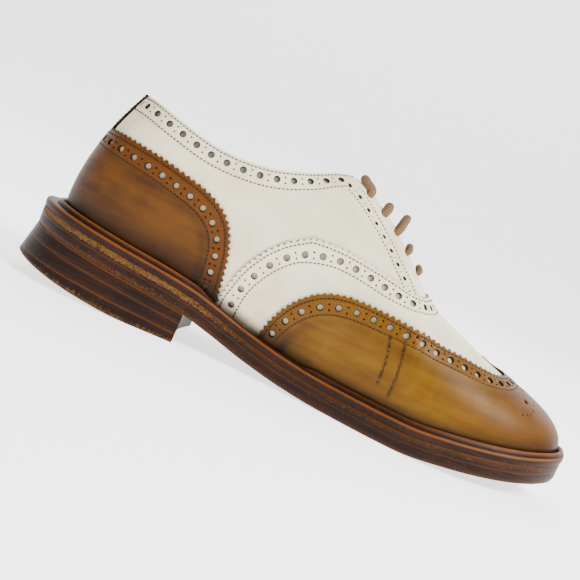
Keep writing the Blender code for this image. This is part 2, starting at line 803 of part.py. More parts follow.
def make_overlay(name, rims, forward, number, material):
    """A vamp, wing cap or counter: the layer of that number over the quarters."""
    outer = number * LAYER
    return layer(name, outer, outer - OVERLAY, material, rims, forward)


def facing_station(run):
    """Station of a spot on the facing, at a run from its top along the edge."""
    share = run / CREST_LINE.length
    tops = [row.top for row in SECTIONS]
    return monotone(tops, [row.station for row in SECTIONS], 1.0 + share)


def inset_v(side, station, inset):
    """How far down the section a spot lies that is an inset away from its top edge."""
    previous, run, v = wall_point(side, station, 1.0), 0.0, 1.0
    while run < inset and v > 0.0:
        v -= INSET_STEP
        p = wall_point(side, station, v)
        run += float(np.linalg.norm(p - previous))
        previous = p
    return v


def eyelet_spots():
    """Station and v of each eyelet, by side."""
    spots = []
    for i in range(EYELETS):
        run = EYELET_FIRST + i * EYELET_PITCH
        station = facing_station(run)
        spots.append({side: (station, inset_v(side, station, EYELET_INSET)) for side in (INNER, OUTER)})
    return spots


def make_cutters(spots):
    """Round cutters for the eyelets, square to the leather."""
    cutters = []
    for i, pair in enumerate(spots):
        for side, word in ((INNER, "inner"), (OUTER, "outer")):
            station, v = pair[side]
            centre = skin(side, station, v, -WALL / 2.0)
            normal = wall_normal(side, station, v)
            bpy.ops.mesh.primitive_cylinder_add(
                vertices=EYELET_SIDES, radius=EYELET_RADIUS, depth=CUTTER_DEPTH
            )
            cutter = bpy.context.object
            cutter.name = f"cut_eyelet_{word}_{i + 1}"
            turn = Vector(normal).to_track_quat("Z", "Y").to_matrix().to_4x4()
            cutter.matrix_world = Matrix.Translation(placed(centre)) @ turn
            cutter.hide_render = True
            cutter.display_type = "WIRE"
            cutters.append(cutter)
    return cutters


def tongue_row(station, lift, middle):
    """Points across the tongue at a station, from the inner side to the outer."""
    sides = {}
    for side in (INNER, OUTER):
        vs = [inset_v(side, station, TONGUE_HALF * k / TONGUE_STEPS) for k in range(TONGUE_STEPS, 0, -1)]
        sides[side] = [skin(side, station, v, lift) for v in vs]
    return sides[INNER] + [middle] + sides[OUTER][::-1]


def make_tongue(material):
    """The tongue, one curved sheet under the facings and the throat."""
    skins = []
    for lift in (-(WALL + TONGUE_CLEAR), -(WALL + TONGUE_CLEAR + TONGUE)):
        middles = []
        stations = range(CORNER_STATION, TONGUE_STATION + 1)
        for station in stations:
            middles.append((skin(INNER, station, 1.0, lift) + skin(OUTER, station, 1.0, lift)) / 2.0)
        rows = [tongue_row(station, lift, middle) for station, middle in zip(stations, middles)]
        lead = middles[0] + (middles[0] - middles[1]) * TONGUE_LEAD
        rows.insert(0, tongue_row(TONGUE_TIP, lift, lead))
        skins.append(rows)
    return shell("tongue", list(zip(*skins)), material)


def make_bar(index, pair, material):
    """One straight bar of lace across the throat, from eyelet to eyelet."""
    lift = LACE_RADIUS + GAP
    path = []
    for side in (INNER, OUTER):
        station, v = pair[side]
        half = [skin(side, station, v + (1.0 - v) * t, lift) for t in BAR_SPOTS]
        path.extend(half if side == INNER else half[::-1])
    fine = Curve(path)
    verts, faces = [], []
    for i in range(BAR_RINGS + 1):
        centre = fine.at(i / BAR_RINGS)
        d = fine.tangent(i / BAR_RINGS)
        up = np.cross(d, np.array([1.0, 0.0, 0.0]))
        up /= np.linalg.norm(up)
        side_way = np.cross(up, d)
        for k in range(LACE_SIDES):
            angle = 2.0 * math.pi * k / LACE_SIDES
            verts.append(centre + LACE_RADIUS * (math.cos(angle) * up + math.sin(angle) * side_way))
    for i in range(BAR_RINGS):
        for k in range(LACE_SIDES):
            a, b = i * LACE_SIDES + k, i * LACE_SIDES + (k + 1) % LACE_SIDES
            faces.append((a, b, b + LACE_SIDES, a + LACE_SIDES))
    faces.append(tuple(range(LACE_SIDES)))
    faces.append(tuple(BAR_RINGS * LACE_SIDES + k for k in range(LACE_SIDES - 1, -1, -1)))
    return finish(f"lace_bar_{index + 1}", verts, faces, material)


def main():
    """Build every piece of the shoe."""
    for thing in list(bpy.data.objects):
        bpy.data.objects.remove(thing, do_unlink=True)
    cream = paint("cream_leather", (0.70, 0.66, 0.56), 0.55)
    tan = paint("tan_leather", (0.36, 0.18, 0.05), 0.40)
    brown = paint("sole_leather", (0.075, 0.022, 0.014), 0.45)
    edge = paint("welt_leather", (0.12, 0.035, 0.018), 0.42)
    lining = paint("insole_leather", (0.42, 0.27, 0.14), 0.60)
    cotton = paint("lace_cotton", (0.26, 0.16, 0.10), 0.85)
    spots = eyelet_spots()
    make_upper(cream, make_cutters(spots))
    make_overlay("vamp", VAMP_RIM, True, 1, cream)
    make_overlay("wing_cap", WING_RIM, True, 2, tan)
    make_overlay("heel_counter", COUNTER_RIM, False, 1, tan)
    make_tongue(cream)
    make_insole(lining)
    make_welt(edge)
    make_midsole(brown)
    make_outsole(brown)
    make_heel(brown, brown)
    for i, pair in enumerate(spots):
        make_bar(i, pair, cotton)


main()
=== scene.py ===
"""Looks of a wing-tip brogue shoe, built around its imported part.

Metres, +Z up, +X from heel to toe, -Y the inner side, with the origin under the heel.
"""

import logging
import math
from dataclasses import dataclass, field
from enum import Enum
from functools import cached_property, partial
from typing import Any, NamedTuple

import bpy
import numpy as np
from mathutils import Matrix, Vector
from mathutils.geometry import delaunay_2d_cdt
from mathutils.kdtree import KDTree

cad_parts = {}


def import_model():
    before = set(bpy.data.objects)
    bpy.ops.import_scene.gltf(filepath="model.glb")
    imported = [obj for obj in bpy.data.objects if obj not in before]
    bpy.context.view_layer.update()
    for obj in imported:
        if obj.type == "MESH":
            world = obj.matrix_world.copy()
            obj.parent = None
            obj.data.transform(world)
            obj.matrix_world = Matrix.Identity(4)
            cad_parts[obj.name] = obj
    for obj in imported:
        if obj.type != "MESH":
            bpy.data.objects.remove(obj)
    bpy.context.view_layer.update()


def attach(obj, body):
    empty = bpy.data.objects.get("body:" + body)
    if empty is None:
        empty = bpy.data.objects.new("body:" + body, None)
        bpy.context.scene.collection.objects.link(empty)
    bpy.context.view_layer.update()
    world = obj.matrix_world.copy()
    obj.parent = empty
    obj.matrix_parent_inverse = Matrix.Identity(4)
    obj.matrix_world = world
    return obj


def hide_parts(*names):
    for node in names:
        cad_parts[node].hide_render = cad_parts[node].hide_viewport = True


MM = 0.001
TURN = 72.0                # stations once round the shoe, inner side first
TOE = 36.0                 # station of the toe tip
THROAT = 23.0              # station where the facings meet
CORNER = 13.0              # station of the facing's top corner
ROUND = 10                 # fewest points of a large hole; rings of fewer are pinholes
FAR = 9.0                  # a distance in millimetres past every stitched and punched band
BODY = "root"

log = logging.getLogger("shoe")


class Side(Enum):
    """The two sides of the shoe, by the sign of Y."""

    INNER = -1
    OUTER = 1

    def place(self, station: Any) -> Any:
        """Place round the shoe of a station on this side."""
        return station if self is Side.INNER else TURN - station


class Edge(NamedTuple):
    """Row of the welt's outline: shares of the sole's length and of a named width."""

    along: float
    width: float
    inner: float
    outer: float


class Line(NamedTuple):
    """Row of the collar's or crest's line."""

    along: float
    across: float
    height: float


class Section(NamedTuple):
    """Row of the upper's sections, from the back seam to the toe tip."""

    station: float
    foot: float
    top: float
    turn: float
    dip: float
    lean: float
    foot_pull: float
    top_pull: float


class Spot(NamedTuple):
    """A place on the upper: its station, and its share of the way up."""

    station: float
    v: float


def table(kind: type, *rows: tuple) -> tuple:
    """A table's rows, each in the form that names its columns."""
    return tuple(kind(*row) for row in rows)


class Ramp:
    """A smooth line through a table's rows, with no overshoot between them."""

    def __init__(self, xs: Any, ys: Any) -> None:
        """Keep the rows and the slope at each of them."""
        self.x, self.y = np.asarray(xs, float), np.asarray(ys, float)
        self.step = np.diff(self.x)
        slope = np.diff(self.y) / self.step
        before, after = slope[:-1], slope[1:]
        w1 = 2.0 * self.step[1:] + self.step[:-1]
        w2 = self.step[1:] + 2.0 * self.step[:-1]
        with np.errstate(divide="ignore", invalid="ignore"):
            mean = (w1 + w2) / (w1 / before + w2 / after)
        middle = np.where(before * after > 0.0, mean, 0.0)
        self.tangent = np.concatenate((slope[:1], middle, slope[-1:]))

    def __call__(self, x: Any) -> np.ndarray:
        """Value of the line at x."""
        x = np.asarray(x, float)
        i = np.clip(np.searchsorted(self.x, x) - 1, 0, len(self.step) - 1)
        t = np.clip((x - self.x[i]) / self.step[i], 0.0, 1.0)
        h00 = (1.0 + 2.0 * t) * (1.0 - t) ** 2
        h10 = t * (1.0 - t) ** 2
        h01 = t * t * (3.0 - 2.0 * t)
        h11 = t * t * (t - 1.0)
        rise = self.step[i] * (h10 * self.tangent[i] + h11 * self.tangent[i + 1])
        return h00 * self.y[i] + h01 * self.y[i + 1] + rise


def ramp(rows: tuple, key: str, name: str) -> Ramp:
    """One column of a table as a smooth line over its key column."""
    return Ramp([getattr(r, key) for r in rows], [getattr(r, name) for r in rows])


class Curve:
    """A smooth curve through points, read by its share of length."""

    FINE = 24

    def __init__(self, points: Any, closed: bool = False) -> None:
        """Work out the fine points between the given ones.

        Args:
            points: the points that the curve passes through.
            closed: whether it comes back to its first point.
        """
        pts = np.asarray(points, float)
        count = len(pts)
        spans = count if closed else count - 1
        fine = []
        for i in range(spans):
            p1, p2 = pts[i], pts[(i + 1) % count]
            p0 = pts[(i - 1) % count] if closed or i > 0 else 2.0 * p1 - p2
            p3 = pts[(i + 2) % count] if closed or i < spans - 1 else 2.0 * p2 - p1
            d0, d1, d2 = (math.sqrt(np.linalg.norm(b - a)) for a, b in ((p0, p1), (p1, p2), (p2, p3)))
            m1 = (p1 - p0) / d0 - (p2 - p0) / (d0 + d1) + (p2 - p1) / d1
            m2 = (p2 - p1) / d1 - (p3 - p1) / (d1 + d2) + (p3 - p2) / d2
            t = np.linspace(0.0, 1.0, self.FINE, endpoint=False)[:, None]
            h = (2 * t**3 - 3 * t**2 + 1, t**3 - 2 * t**2 + t, 3 * t**2 - 2 * t**3, t**3 - t**2)
            fine.append(h[0] * p1 + h[1] * d1 * m1 + h[2] * p2 + h[3] * d1 * m2)
        if not closed:
            fine.append(pts[-1:])
        self.measure(np.concatenate(fine))

    def measure(self, fine: np.ndarray) -> "Curve":
        """Keep the fine points and their running length."""
        self.points = fine
        self.run = running(fine)
        self.length = float(self.run[-1])
        return self

    @classmethod
    def through(cls, fine: np.ndarray) -> "Curve":
        """A curve made straight from fine points."""
        return cls.__new__(cls).measure(np.asarray(fine))

    def at(self, share: Any) -> np.ndarray:
        """Points at shares of the length."""
        s = np.clip(share, 0.0, 1.0) * self.length
        return np.stack([np.interp(s, self.run, c) for c in self.points.T], axis=-1)

    def tangent(self, share: Any, reach: float = 0.004) -> np.ndarray:
        """Unit directions at shares of the length."""
        return unit(self.at(np.asarray(share) + reach) - self.at(np.asarray(share) - reach))


def running(points: np.ndarray) -> np.ndarray:
    """Running length along points."""
    return np.concatenate(([0.0], np.cumsum(np.linalg.norm(np.diff(points, axis=0), axis=1))))


def station_of(w: Any) -> np.ndarray:
    """Stations of places round the shoe, counted from the back seam on either side."""
    ring = np.mod(w, TURN)
    return np.minimum(ring, TURN - ring)


def unit(vectors: np.ndarray) -> np.ndarray:
    """The vectors at length one."""
    return vectors / np.maximum(np.linalg.norm(vectors, axis=-1, keepdims=True), 1e-12)


def fade(x: Any, low: float, high: float) -> np.ndarray:
    """Smooth step from 0 at low to 1 at high."""
    t = np.clip((np.asarray(x, float) - low) / (high - low), 0.0, 1.0)
    return t * t * (3.0 - 2.0 * t)


def near_tree(points: np.ndarray) -> KDTree:
    """A search tree of points."""
    tree = KDTree(len(points))
    for i, point in enumerate(points):
        tree.insert(point, i)
    tree.balance()
    return tree


def distances(tree: KDTree, points: np.ndarray) -> np.ndarray:
    """Distance from each point to the nearest in a tree."""
    return np.array([tree.find(point)[2] for point in points])


class Fold(NamedTuple):
    """A crease or a swelling across the leather, between two spots, in millimetres."""

    first: Spot
    last: Spot
    depth: float
    width: float

    def places(self, count: int, bow: float) -> tuple[np.ndarray, np.ndarray]:
        """Stations and shares up along it, bowed out by some stations at its middle."""
        t = np.linspace(0.0, 1.0, count)
        w = self.first.station + (self.last.station - self.first.station) * t + bow * np.sin(np.pi * t)
        return w, self.first.v + (self.last.v - self.first.v) * t


@dataclass
class Last:
    """The shoe's own form: the sole's outline and the face of the quarters."""

    sole_length: float = 0.2935
    ball_width: float = 0.105
    waist_width: float = 0.066
    heel_width: float = 0.068
    back_height: float = 0.105
    collar_height: float = 0.0945
    instep_height: float = 0.1105
    vamp_height: float = 0.0648
    toe_height: float = 0.0440
    heel_height: float = 0.0254
    toe_spring: float = 0.0125
    origin_along: float = 0.076
    outsole: float = 0.0054
    midsole: float = 0.0042
    gap: float = 0.00035
    layer: float = 0.00155
    shelf_heel: float = 0.0098
    shelf_waist: float = 0.0066
    shelf_toe: float = 0.0074
    shelf_tip: float = 0.0054
    throat_top: float = 0.0088
    throat_end: float = 0.0040
    throat_share: float = 0.478
    tip_across: float = -0.045
    fineness: int = 16
    inner_raise: tuple[float, ...] = (0.0, 0.7, 2.0, 2.4, 1.0, 0.0, 0.0, 0.0)
    outer_raise: tuple[float, ...] = (0.0, -0.4, -1.2, -1.6, -1.0, 0.0, 0.0, 0.0)
    folds: tuple[Fold, ...] = (
        Fold(Spot(21.6, 0.10), Spot(22.4, 0.36), -0.42, 3.2),
        Fold(Spot(22.9, 0.06), Spot(24.0, 0.38), -0.50, 3.4),
        Fold(Spot(20.3, 0.20), Spot(21.6, 0.62), -0.28, 5.0),
        Fold(Spot(22.6, 0.52), Spot(24.6, 0.99), -0.30, 5.0),
        Fold(Spot(23.9, 0.50), Spot(25.8, 0.95), -0.26, 5.0),
        Fold(Spot(22.9, 0.20), Spot(24.1, 0.99), 0.22, 5.5),
        Fold(Spot(11.8, 0.20), Spot(12.6, 0.86), -0.25, 7.0),
        Fold(Spot(14.6, 0.55), Spot(17.8, 0.72), -0.25, 7.0),
        Fold(Spot(7.6, 0.72), Spot(11.6, 0.80), -0.35, 8.0),
    )

    def __post_init__(self) -> None:
        """Work out the sole's edges, the collar, the crest and the sections."""
        ball, waist, heel = self.ball_width, self.waist_width, self.heel_width
        outline = table(
            Edge,
            (0.012, heel, 0.195, 0.195), (0.045, heel, 0.360, 0.360), (0.095, heel, 0.465, 0.470),
            (0.160, heel, 0.497, 0.503), (0.240, heel, 0.475, 0.507), (0.330, waist, 0.445, 0.550),
            (0.420, waist, 0.430, 0.580), (0.500, waist, 0.500, 0.640), (0.590, ball, 0.375, 0.440),
            (0.670, ball, 0.450, 0.495), (0.740, ball, 0.486, 0.514), (0.810, ball, 0.475, 0.480),
            (0.880, ball, 0.430, 0.405), (0.940, ball, 0.338, 0.285), (0.982, ball, 0.205, 0.130),
        )
        inner = [(r.along * self.sole_length, -r.inner * r.width) for r in outline]
        outer = [(r.along * self.sole_length, r.outer * r.width) for r in outline]
        tip = (self.sole_length, self.tip_across * ball)
        ring = Curve([(0.0, 0.0)] + inner + [tip] + outer[::-1], closed=True).points
        turn = (len(inner) + 1) * Curve.FINE
        self.edges = {
            Side.INNER: Curve.through(ring[: turn + 1]),
            Side.OUTER: Curve.through(np.vstack((ring[:1], ring[: turn - 1 : -1]))),
        }
        shelves = (0.0, 0.22, 0.38, 0.52, 0.75, 0.90, 1.0)
        widths = (self.shelf_heel, self.shelf_heel, self.shelf_waist, self.shelf_waist)
        widths += (self.shelf_toe, self.shelf_toe, self.shelf_tip)
        self.shelf_line = Ramp(shelves, widths)
        self.layer_line = Ramp(shelves, (1.0, 1.0, 1.0, 2.0, 2.0, 2.0, 2.0))
        high, spring = self.heel_height, self.toe_spring
        self.bottom_line = Ramp(
            (0.0, 0.150, 0.305, 0.355, 0.430, 0.500, 0.570, 0.620, 0.700, 0.790, 0.880, 1.0),
            (high, high * 0.800, high * 0.575, high * 0.435, high * 0.210, high * 0.080, high * 0.012,
             0.0, 0.0, spring * 0.185, spring * 0.475, spring),
        )
        self.collars = {side: self.collar_curve(side) for side in Side}
        tall, vamp = self.instep_height, self.vamp_height
        crest = table(
            Line,
            (0.4680, 0.0, tall), (0.4950, 0.0, tall * 0.966), (0.5420, 0.0, tall * 0.896),
            (0.5830, 0.0, tall * 0.822), (0.6200, 0.0, tall * 0.741), (0.6550, 0.0, tall * 0.669),
            (0.6950, 0.0, vamp), (0.7600, 0.0, vamp * 0.882), (0.8150, 0.0, vamp * 0.785),
            (0.8900, 0.0, self.toe_height),
        )
        self.crest = Curve([(r.along * self.sole_length, r.height) for r in crest])
        rows = table(
            Section,
            (0, 0.000, 0.00, 180.0, 62.0, 0.10, 0.36, 0.32),
            (3, 0.075, 0.16, 128.0, 70.0, 0.16, 0.36, 0.32),
            (6, 0.175, 0.38, 95.0, 76.0, 0.24, 0.36, 0.32),
            (9, 0.280, 0.66, 90.0, 72.0, 0.30, 0.36, 0.32),
            (13, 0.430, 1.00, 90.0, 24.0, 0.34, 0.42, 0.34),
            (17, 0.555, 1.24, 90.0, 14.0, 0.24, 0.42, 0.36),
            (23, 0.655, 1.478, 90.0, 0.0, 0.16, 0.44, 0.42),
            (27, 0.755, 1.78, 90.0, 0.0, 0.16, 0.44, 0.46),
            (30, 0.845, 1.93, 66.0, 0.0, 0.26, 0.42, 0.46),
            (33, 0.925, 1.98, 33.0, 0.0, 0.36, 0.40, 0.46),
            (36, 1.000, 2.00, 0.0, 0.0, 0.40, 0.40, 0.46),
        )
        self.columns = {name: ramp(rows, "station", name) for name in Section._fields[1:]}
        self.controls = {side: self.sections(side) for side in Side}

    def collar_curve(self, side: Side) -> Curve:
        """The collar's edge on one side, ending at the top of the facing."""
        back, low = self.back_height, self.collar_height
        rows = table(
            Line,
            (0.0950, 0.000, back), (0.1010, 0.165, back * 0.992), (0.1240, 0.290, back * 0.972),
            (0.1750, 0.370, back * 0.932), (0.2550, 0.400, low), (0.3350, 0.370, low * 1.022),
            (0.4000, 0.265, low * 1.085), (0.4450, 0.130, low * 1.148),
        )
        sign = side.value
        raised = {Side.INNER: self.inner_raise, Side.OUTER: self.outer_raise}[side]
        line = [
            (r.along * self.sole_length, sign * r.across * self.heel_width, r.height + higher * MM)
            for r, higher in zip(rows, raised)
        ]
        ring = [(p[0], -p[1], p[2]) for p in line[3:0:-1]] + line
        top = (0.4680 * self.sole_length, sign * self.throat_top / 2.0, self.instep_height)
        return Curve.through(Curve(ring + [top]).points[3 * Curve.FINE:])

    def outward(self, side: Side, share: Any) -> np.ndarray:
        """Plan directions that point out of the sole's edge."""
        share = np.asarray(share, float)
        d = self.edges[side].tangent(share)
        out = np.stack((-d[..., 1], d[..., 0]), axis=-1) * side.value
        out = np.where((share <= 0.0)[..., None], (-1.0, 0.0), out)
        return np.where((share >= 1.0)[..., None], (1.0, 0.0), out)

    def edge_point(self, side: Side, share: Any, inset: Any = 0.0) -> np.ndarray:
        """Plan points of the sole's edge, moved inwards by an inset."""
        inset = np.asarray(inset, float)[..., None]
        return self.edges[side].at(share) - inset * self.outward(side, share)

    def underside(self, along: Any) -> np.ndarray:
        """Height of the outsole's underside over the floor."""
        return self.bottom_line(np.asarray(along) / self.sole_length)

    def floor(self, along: Any) -> np.ndarray:
        """Height of the midsole's top, on which upper, insole and welt stand."""
        return self.underside(along) + self.outsole + self.gap + self.midsole

    def shelf(self, along: Any) -> np.ndarray:
        """Width of the welt between its edge and the leather."""
        return self.shelf_line(np.asarray(along) / self.sole_length)

    def foot(self, side: Side, share: Any, extra: float = 0.0) -> np.ndarray:
        """Feet of the quarters' outer face, moved inwards by extra."""
        along = self.edges[side].at(share)[..., 0]
        layers = self.layer_line(along / self.sole_length)
        plan = self.edge_point(side, share, self.shelf(along) + layers * self.layer + extra)
        height = self.floor(plan[..., 0]) + self.gap
        return np.concatenate((plan, height[..., None]), axis=-1)

    def sections(self, side: Side) -> np.ndarray:
        """The four control points of the section at each fine station of a side."""
        stations = np.linspace(0.0, TOE, int(TOE) * self.fineness + 1)
        row = {name: line(stations) for name, line in self.columns.items()}
        foot = self.foot(side, row["foot"])
        share = row["top"] - 1.0
        along = self.crest.at(share)
        part = share / self.throat_share
        throat = self.throat_top + (self.throat_end - self.throat_top) * part
        half = np.where(part < 1.0, throat / 2.0, 0.0)
        over = np.stack((along[:, 0], side.value * half, along[:, 1]), axis=-1)
        on_collar = row["top"] <= 1.0
        top = np.where(on_collar[:, None], self.collars[side].at(row["top"]), over)
        d = self.crest.tangent(share)
        fall = np.where(on_collar, 0.0, np.arctan2(-d[:, 1], d[:, 0]))
        height = np.linalg.norm(top - foot, axis=-1)[:, None]
        out = self.outward(side, row["foot"])
        up = unit(np.concatenate((row["lean"][:, None] * out, np.ones((len(out), 1))), axis=-1))
        turn, dip = np.radians(row["turn"]), np.radians(row["dip"])
        forward = np.stack((np.cos(fall), 0.0 * fall, -np.sin(fall)), axis=-1)
        down = np.cos(turn)[:, None] * forward + np.sin(turn)[:, None] * np.array([0.0, side.value, 0.0])
        down = np.cos(dip)[:, None] * down + np.sin(dip)[:, None] * np.array([0.0, 0.0, -1.0])
        low = foot + row["foot_pull"][:, None] * height * up
        return np.stack((foot, low, top + row["top_pull"][:, None] * height * down, top), axis=1)

    def control(self, w: np.ndarray) -> np.ndarray:
        """Control points of the sections at places round the shoe."""
        station = station_of(w) * self.fineness
        i = np.minimum(station.astype(int), int(TOE) * self.fineness - 1)
        t = (station - i)[:, None, None]
        on_inner = (np.mod(w, TURN) <= TOE)[:, None, None]
        inner, outer = self.controls[Side.INNER], self.controls[Side.OUTER]
        first = np.where(on_inner, inner[i], outer[i])
        second = np.where(on_inner, inner[i + 1], outer[i + 1])
        return first * (1.0 - t) + second * t

    def wall(self, w: np.ndarray, v: np.ndarray) -> np.ndarray:
        """Points of the quarters' outer face."""
        p, v = self.control(w), v[:, None]
        u = 1.0 - v
        return u**3 * p[:, 0] + 3.0 * v * u**2 * p[:, 1] + 3.0 * v**2 * u * p[:, 2] + v**3 * p[:, 3]

    def slopes(self, w: np.ndarray, v: np.ndarray) -> tuple[np.ndarray, np.ndarray]:
        """Change of the face a station round the shoe, and over the whole way up."""
        reach = 0.25
        along = (self.wall(w + reach, v) - self.wall(w - reach, v)) / (2.0 * reach)
        p, t = self.control(w), v[:, None]
        u = 1.0 - t
        first, second, third = (p[:, k + 1] - p[:, k] for k in range(3))
        return along, 3.0 * (u**2 * first + 2.0 * u * t * second + t**2 * third)

    def normal(self, w: np.ndarray, v: np.ndarray) -> np.ndarray:
        """Unit normals that point out of the shoe."""
        along, up = self.slopes(w, v)
        n = unit(np.cross(along, up))
        station = station_of(w)
        d = self.crest.tangent(self.columns["top"](station) - 1.0)
        crest = np.stack((-d[:, 1], 0.0 * station, d[:, 0]), axis=-1)
        on_crest = (v > 1.0 - 1e-6) & (station >= THROAT)
        return np.where(on_crest[:, None], crest, n)

    def relief(self, points: np.ndarray) -> np.ndarray:
        """How far creases and swellings lift the leather at points of the inner or outer side."""
        rise = np.zeros(len(points))
        for fold, line in self.fold_lines:
            gap = points[:, None, :] - line[None, :, :]
            near = np.sqrt((gap**2).sum(axis=2))
            k = near.argmin(axis=1)
            ends = np.sin(np.pi * np.clip(k / (len(line) - 1), 0.04, 0.96)) ** 0.5
            rise += fold.depth * MM * ends * np.exp(-((near.min(axis=1) / (fold.width * MM)) ** 2))
        return rise

    @cached_property
    def facing_rise(self) -> Ramp:
        """How far the facings' edges curl up from the tongue, by station, in millimetres."""
        return Ramp((0.0, 12.8, 14.0, 16.0, 18.5, 21.5, 23.5, TOE), (0.0, 0.0, 2.2, 2.3, 1.8, 1.5, 0.0, 0.0))

    @cached_property
    def fold_lines(self) -> list[tuple[Fold, np.ndarray]]:
        """Each crease with its line of points on the leather, on both sides of the shoe."""
        lines = []
        for fold in self.folds:
            w, v = fold.places(25, 0.35)
            lines.append((fold, self.wall(w, v)))
            lines.append((fold, self.wall(TURN - w + 0.3, v)))
        return lines

    def skin(self, w: Any, v: Any, lift: Any) -> np.ndarray:
        """Points at a height over the quarters' face, in the part's frame.

        Args:
            w: places round the shoe, in stations.
            v: shares of the way up.
            lift: heights over the face, below it where negative.

        Returns:
            One row of X, Y and Z a place.
        """
        w, v = np.asarray(w, float), np.clip(np.asarray(v, float), 0.0, 1.0)
        face = self.wall(w, v)
        facing = self.facing_rise(station_of(w)) * MM * fade(v, 0.86, 1.0)
        rise = np.asarray(lift, float) + self.relief(face) * fade(v, 0.02, 0.10) + facing
        points = face + rise[:, None] * self.normal(w, v)
        points[:, 2] = np.maximum(points[:, 2], self.floor(points[:, 0]) + self.gap)
        points[:, 0] -= self.origin_along
        return points

    def shift(self, w: np.ndarray, v: np.ndarray, move: np.ndarray) -> tuple[np.ndarray, np.ndarray]:
        """Places reached by short moves along the leather."""
        a, b = self.slopes(w, v)
        aa, bb, ab = (a * a).sum(1), (b * b).sum(1), (a * b).sum(1)
        am, bm = (a * move).sum(1), (b * move).sum(1)
        bottom = np.maximum(aa * bb - ab * ab, 1e-14)
        return w + (am * bb - bm * ab) / bottom, v + (bm * aa - am * ab) / bottom


class Track:
    """A line drawn on the leather, read by its distance along it."""

    SPACING = 0.4 * MM
    STRETCH = (0.008, 0.090)   # rough length of a station and of the whole way up

    def __init__(self, last: Last, places: np.ndarray, smooth: bool = True) -> None:
        """Lay the line through places round the shoe and shares of the way up."""
        self.last = last
        fine = Curve(np.asarray(places) * self.STRETCH).points / self.STRETCH if smooth else places
        run = running(last.wall(fine[:, 0], fine[:, 1]))
        self.length = float(run[-1])
        count = max(int(self.length / self.SPACING), 8)
        self.run = np.linspace(0.0, self.length, count + 1)
        self.places = np.stack([np.interp(self.run, run, c) for c in fine.T], axis=-1)

    def at(self, run: Any) -> np.ndarray:
        """Places at distances along the line."""
        return np.stack([np.interp(run, self.run, c) for c in self.places.T], axis=-1)

    def frame(self, places: np.ndarray, run: Any) -> tuple[np.ndarray, np.ndarray]:
        """Directions along the line and to its left, seen from outside the shoe."""
        ahead, behind = self.at(np.asarray(run) + 1.5 * MM), self.at(np.asarray(run) - 1.5 * MM)
        d = self.last.wall(*ahead.T) - self.last.wall(*behind.T)
        n = self.last.normal(*places.T)
        left = unit(np.cross(n, d))
        return np.cross(left, n), left

    def shifted(self, distance: float) -> "Track":
        """The line moved to its left along the leather, or to its right where negative."""
        tree = near_tree(self.last.wall(*self.places.T))
        steps = max(int(math.ceil(abs(distance) / (0.7 * MM))), 1)
        track = self
        for step in range(1, steps + 1):
            left = track.frame(track.places, track.run)[1]
            w, v = self.last.shift(*track.places.T, left * distance / steps)
            away = distances(tree, self.last.wall(w, v))
            clear = away > 0.96 * abs(distance) * step / steps
            track = Track(self.last, np.stack((w, v), axis=-1)[clear], smooth=False)
        return track

    def trimmed(self, start: float, end: float) -> "Track":
        """The line without its first and last stretch."""
        keep = np.linspace(start, self.length - end, max(int(self.length / self.SPACING), 8))
        return Track(self.last, self.at(keep), smooth=False)

    def spots(self, pitch: float, start: float = 0.0, end: float = 0.0, ease: float = 0.0) -> np.ndarray:
        """Distances of spots about a pitch apart, a little wider at first where eased."""
        room = self.length - start - end
        count = max(int(round(room / pitch)), 1)
        share = np.arange(count + 1) / count
        return start + room * share * (1.0 + ease * (1.0 - share))

    def toothed(self, pitch: float, height: float, free: float = 0.0) -> np.ndarray:
        """Places of a pinked edge along the line, left plain over its last stretch."""
        if height == 0.0:
            return self.at(self.spots(1.1 * MM))
        count = 2 * int(round(self.length / pitch))
        run = self.length * np.arange(count + 1) / count
        places = self.at(run)
        left = self.frame(places, run)[1]
        swing = height / 2.0 * np.where(np.arange(count + 1) % 2, 1.0, -1.0)
        swing *= run < self.length - free
        swing[[0, -1]] = 0.0
        w, v = self.last.shift(*places.T, left * swing[:, None])
        made = np.stack((w, v), axis=-1)
        made[[0, -1]] = places[[0, -1]]
        return made

    def ring(self, run: float, across: float, radius: float, sides: int, narrow: float = 1.0) -> np.ndarray:
        """Places round a hole beside the line.

        Args:
            run: distance of its centre along the line.
            across: distance of its centre to the left of the line.
            radius: its radius.
            sides: how many places.
            narrow: its width across the line, as a share of its length.

        Returns:
            One row of station and share up a place.
        """
        place = self.at(np.array([run]))
        forward, left = self.frame(place, np.array([run]))
        w, v = self.last.shift(*place.T, left * across)
        angle = 2.0 * math.pi * np.arange(sides) / sides
        move = radius * (np.cos(angle)[:, None] * forward + narrow * np.sin(angle)[:, None] * left)
        w, v = self.last.shift(np.repeat(w, sides), np.repeat(v, sides), move)
        return np.stack((w, v), axis=-1)


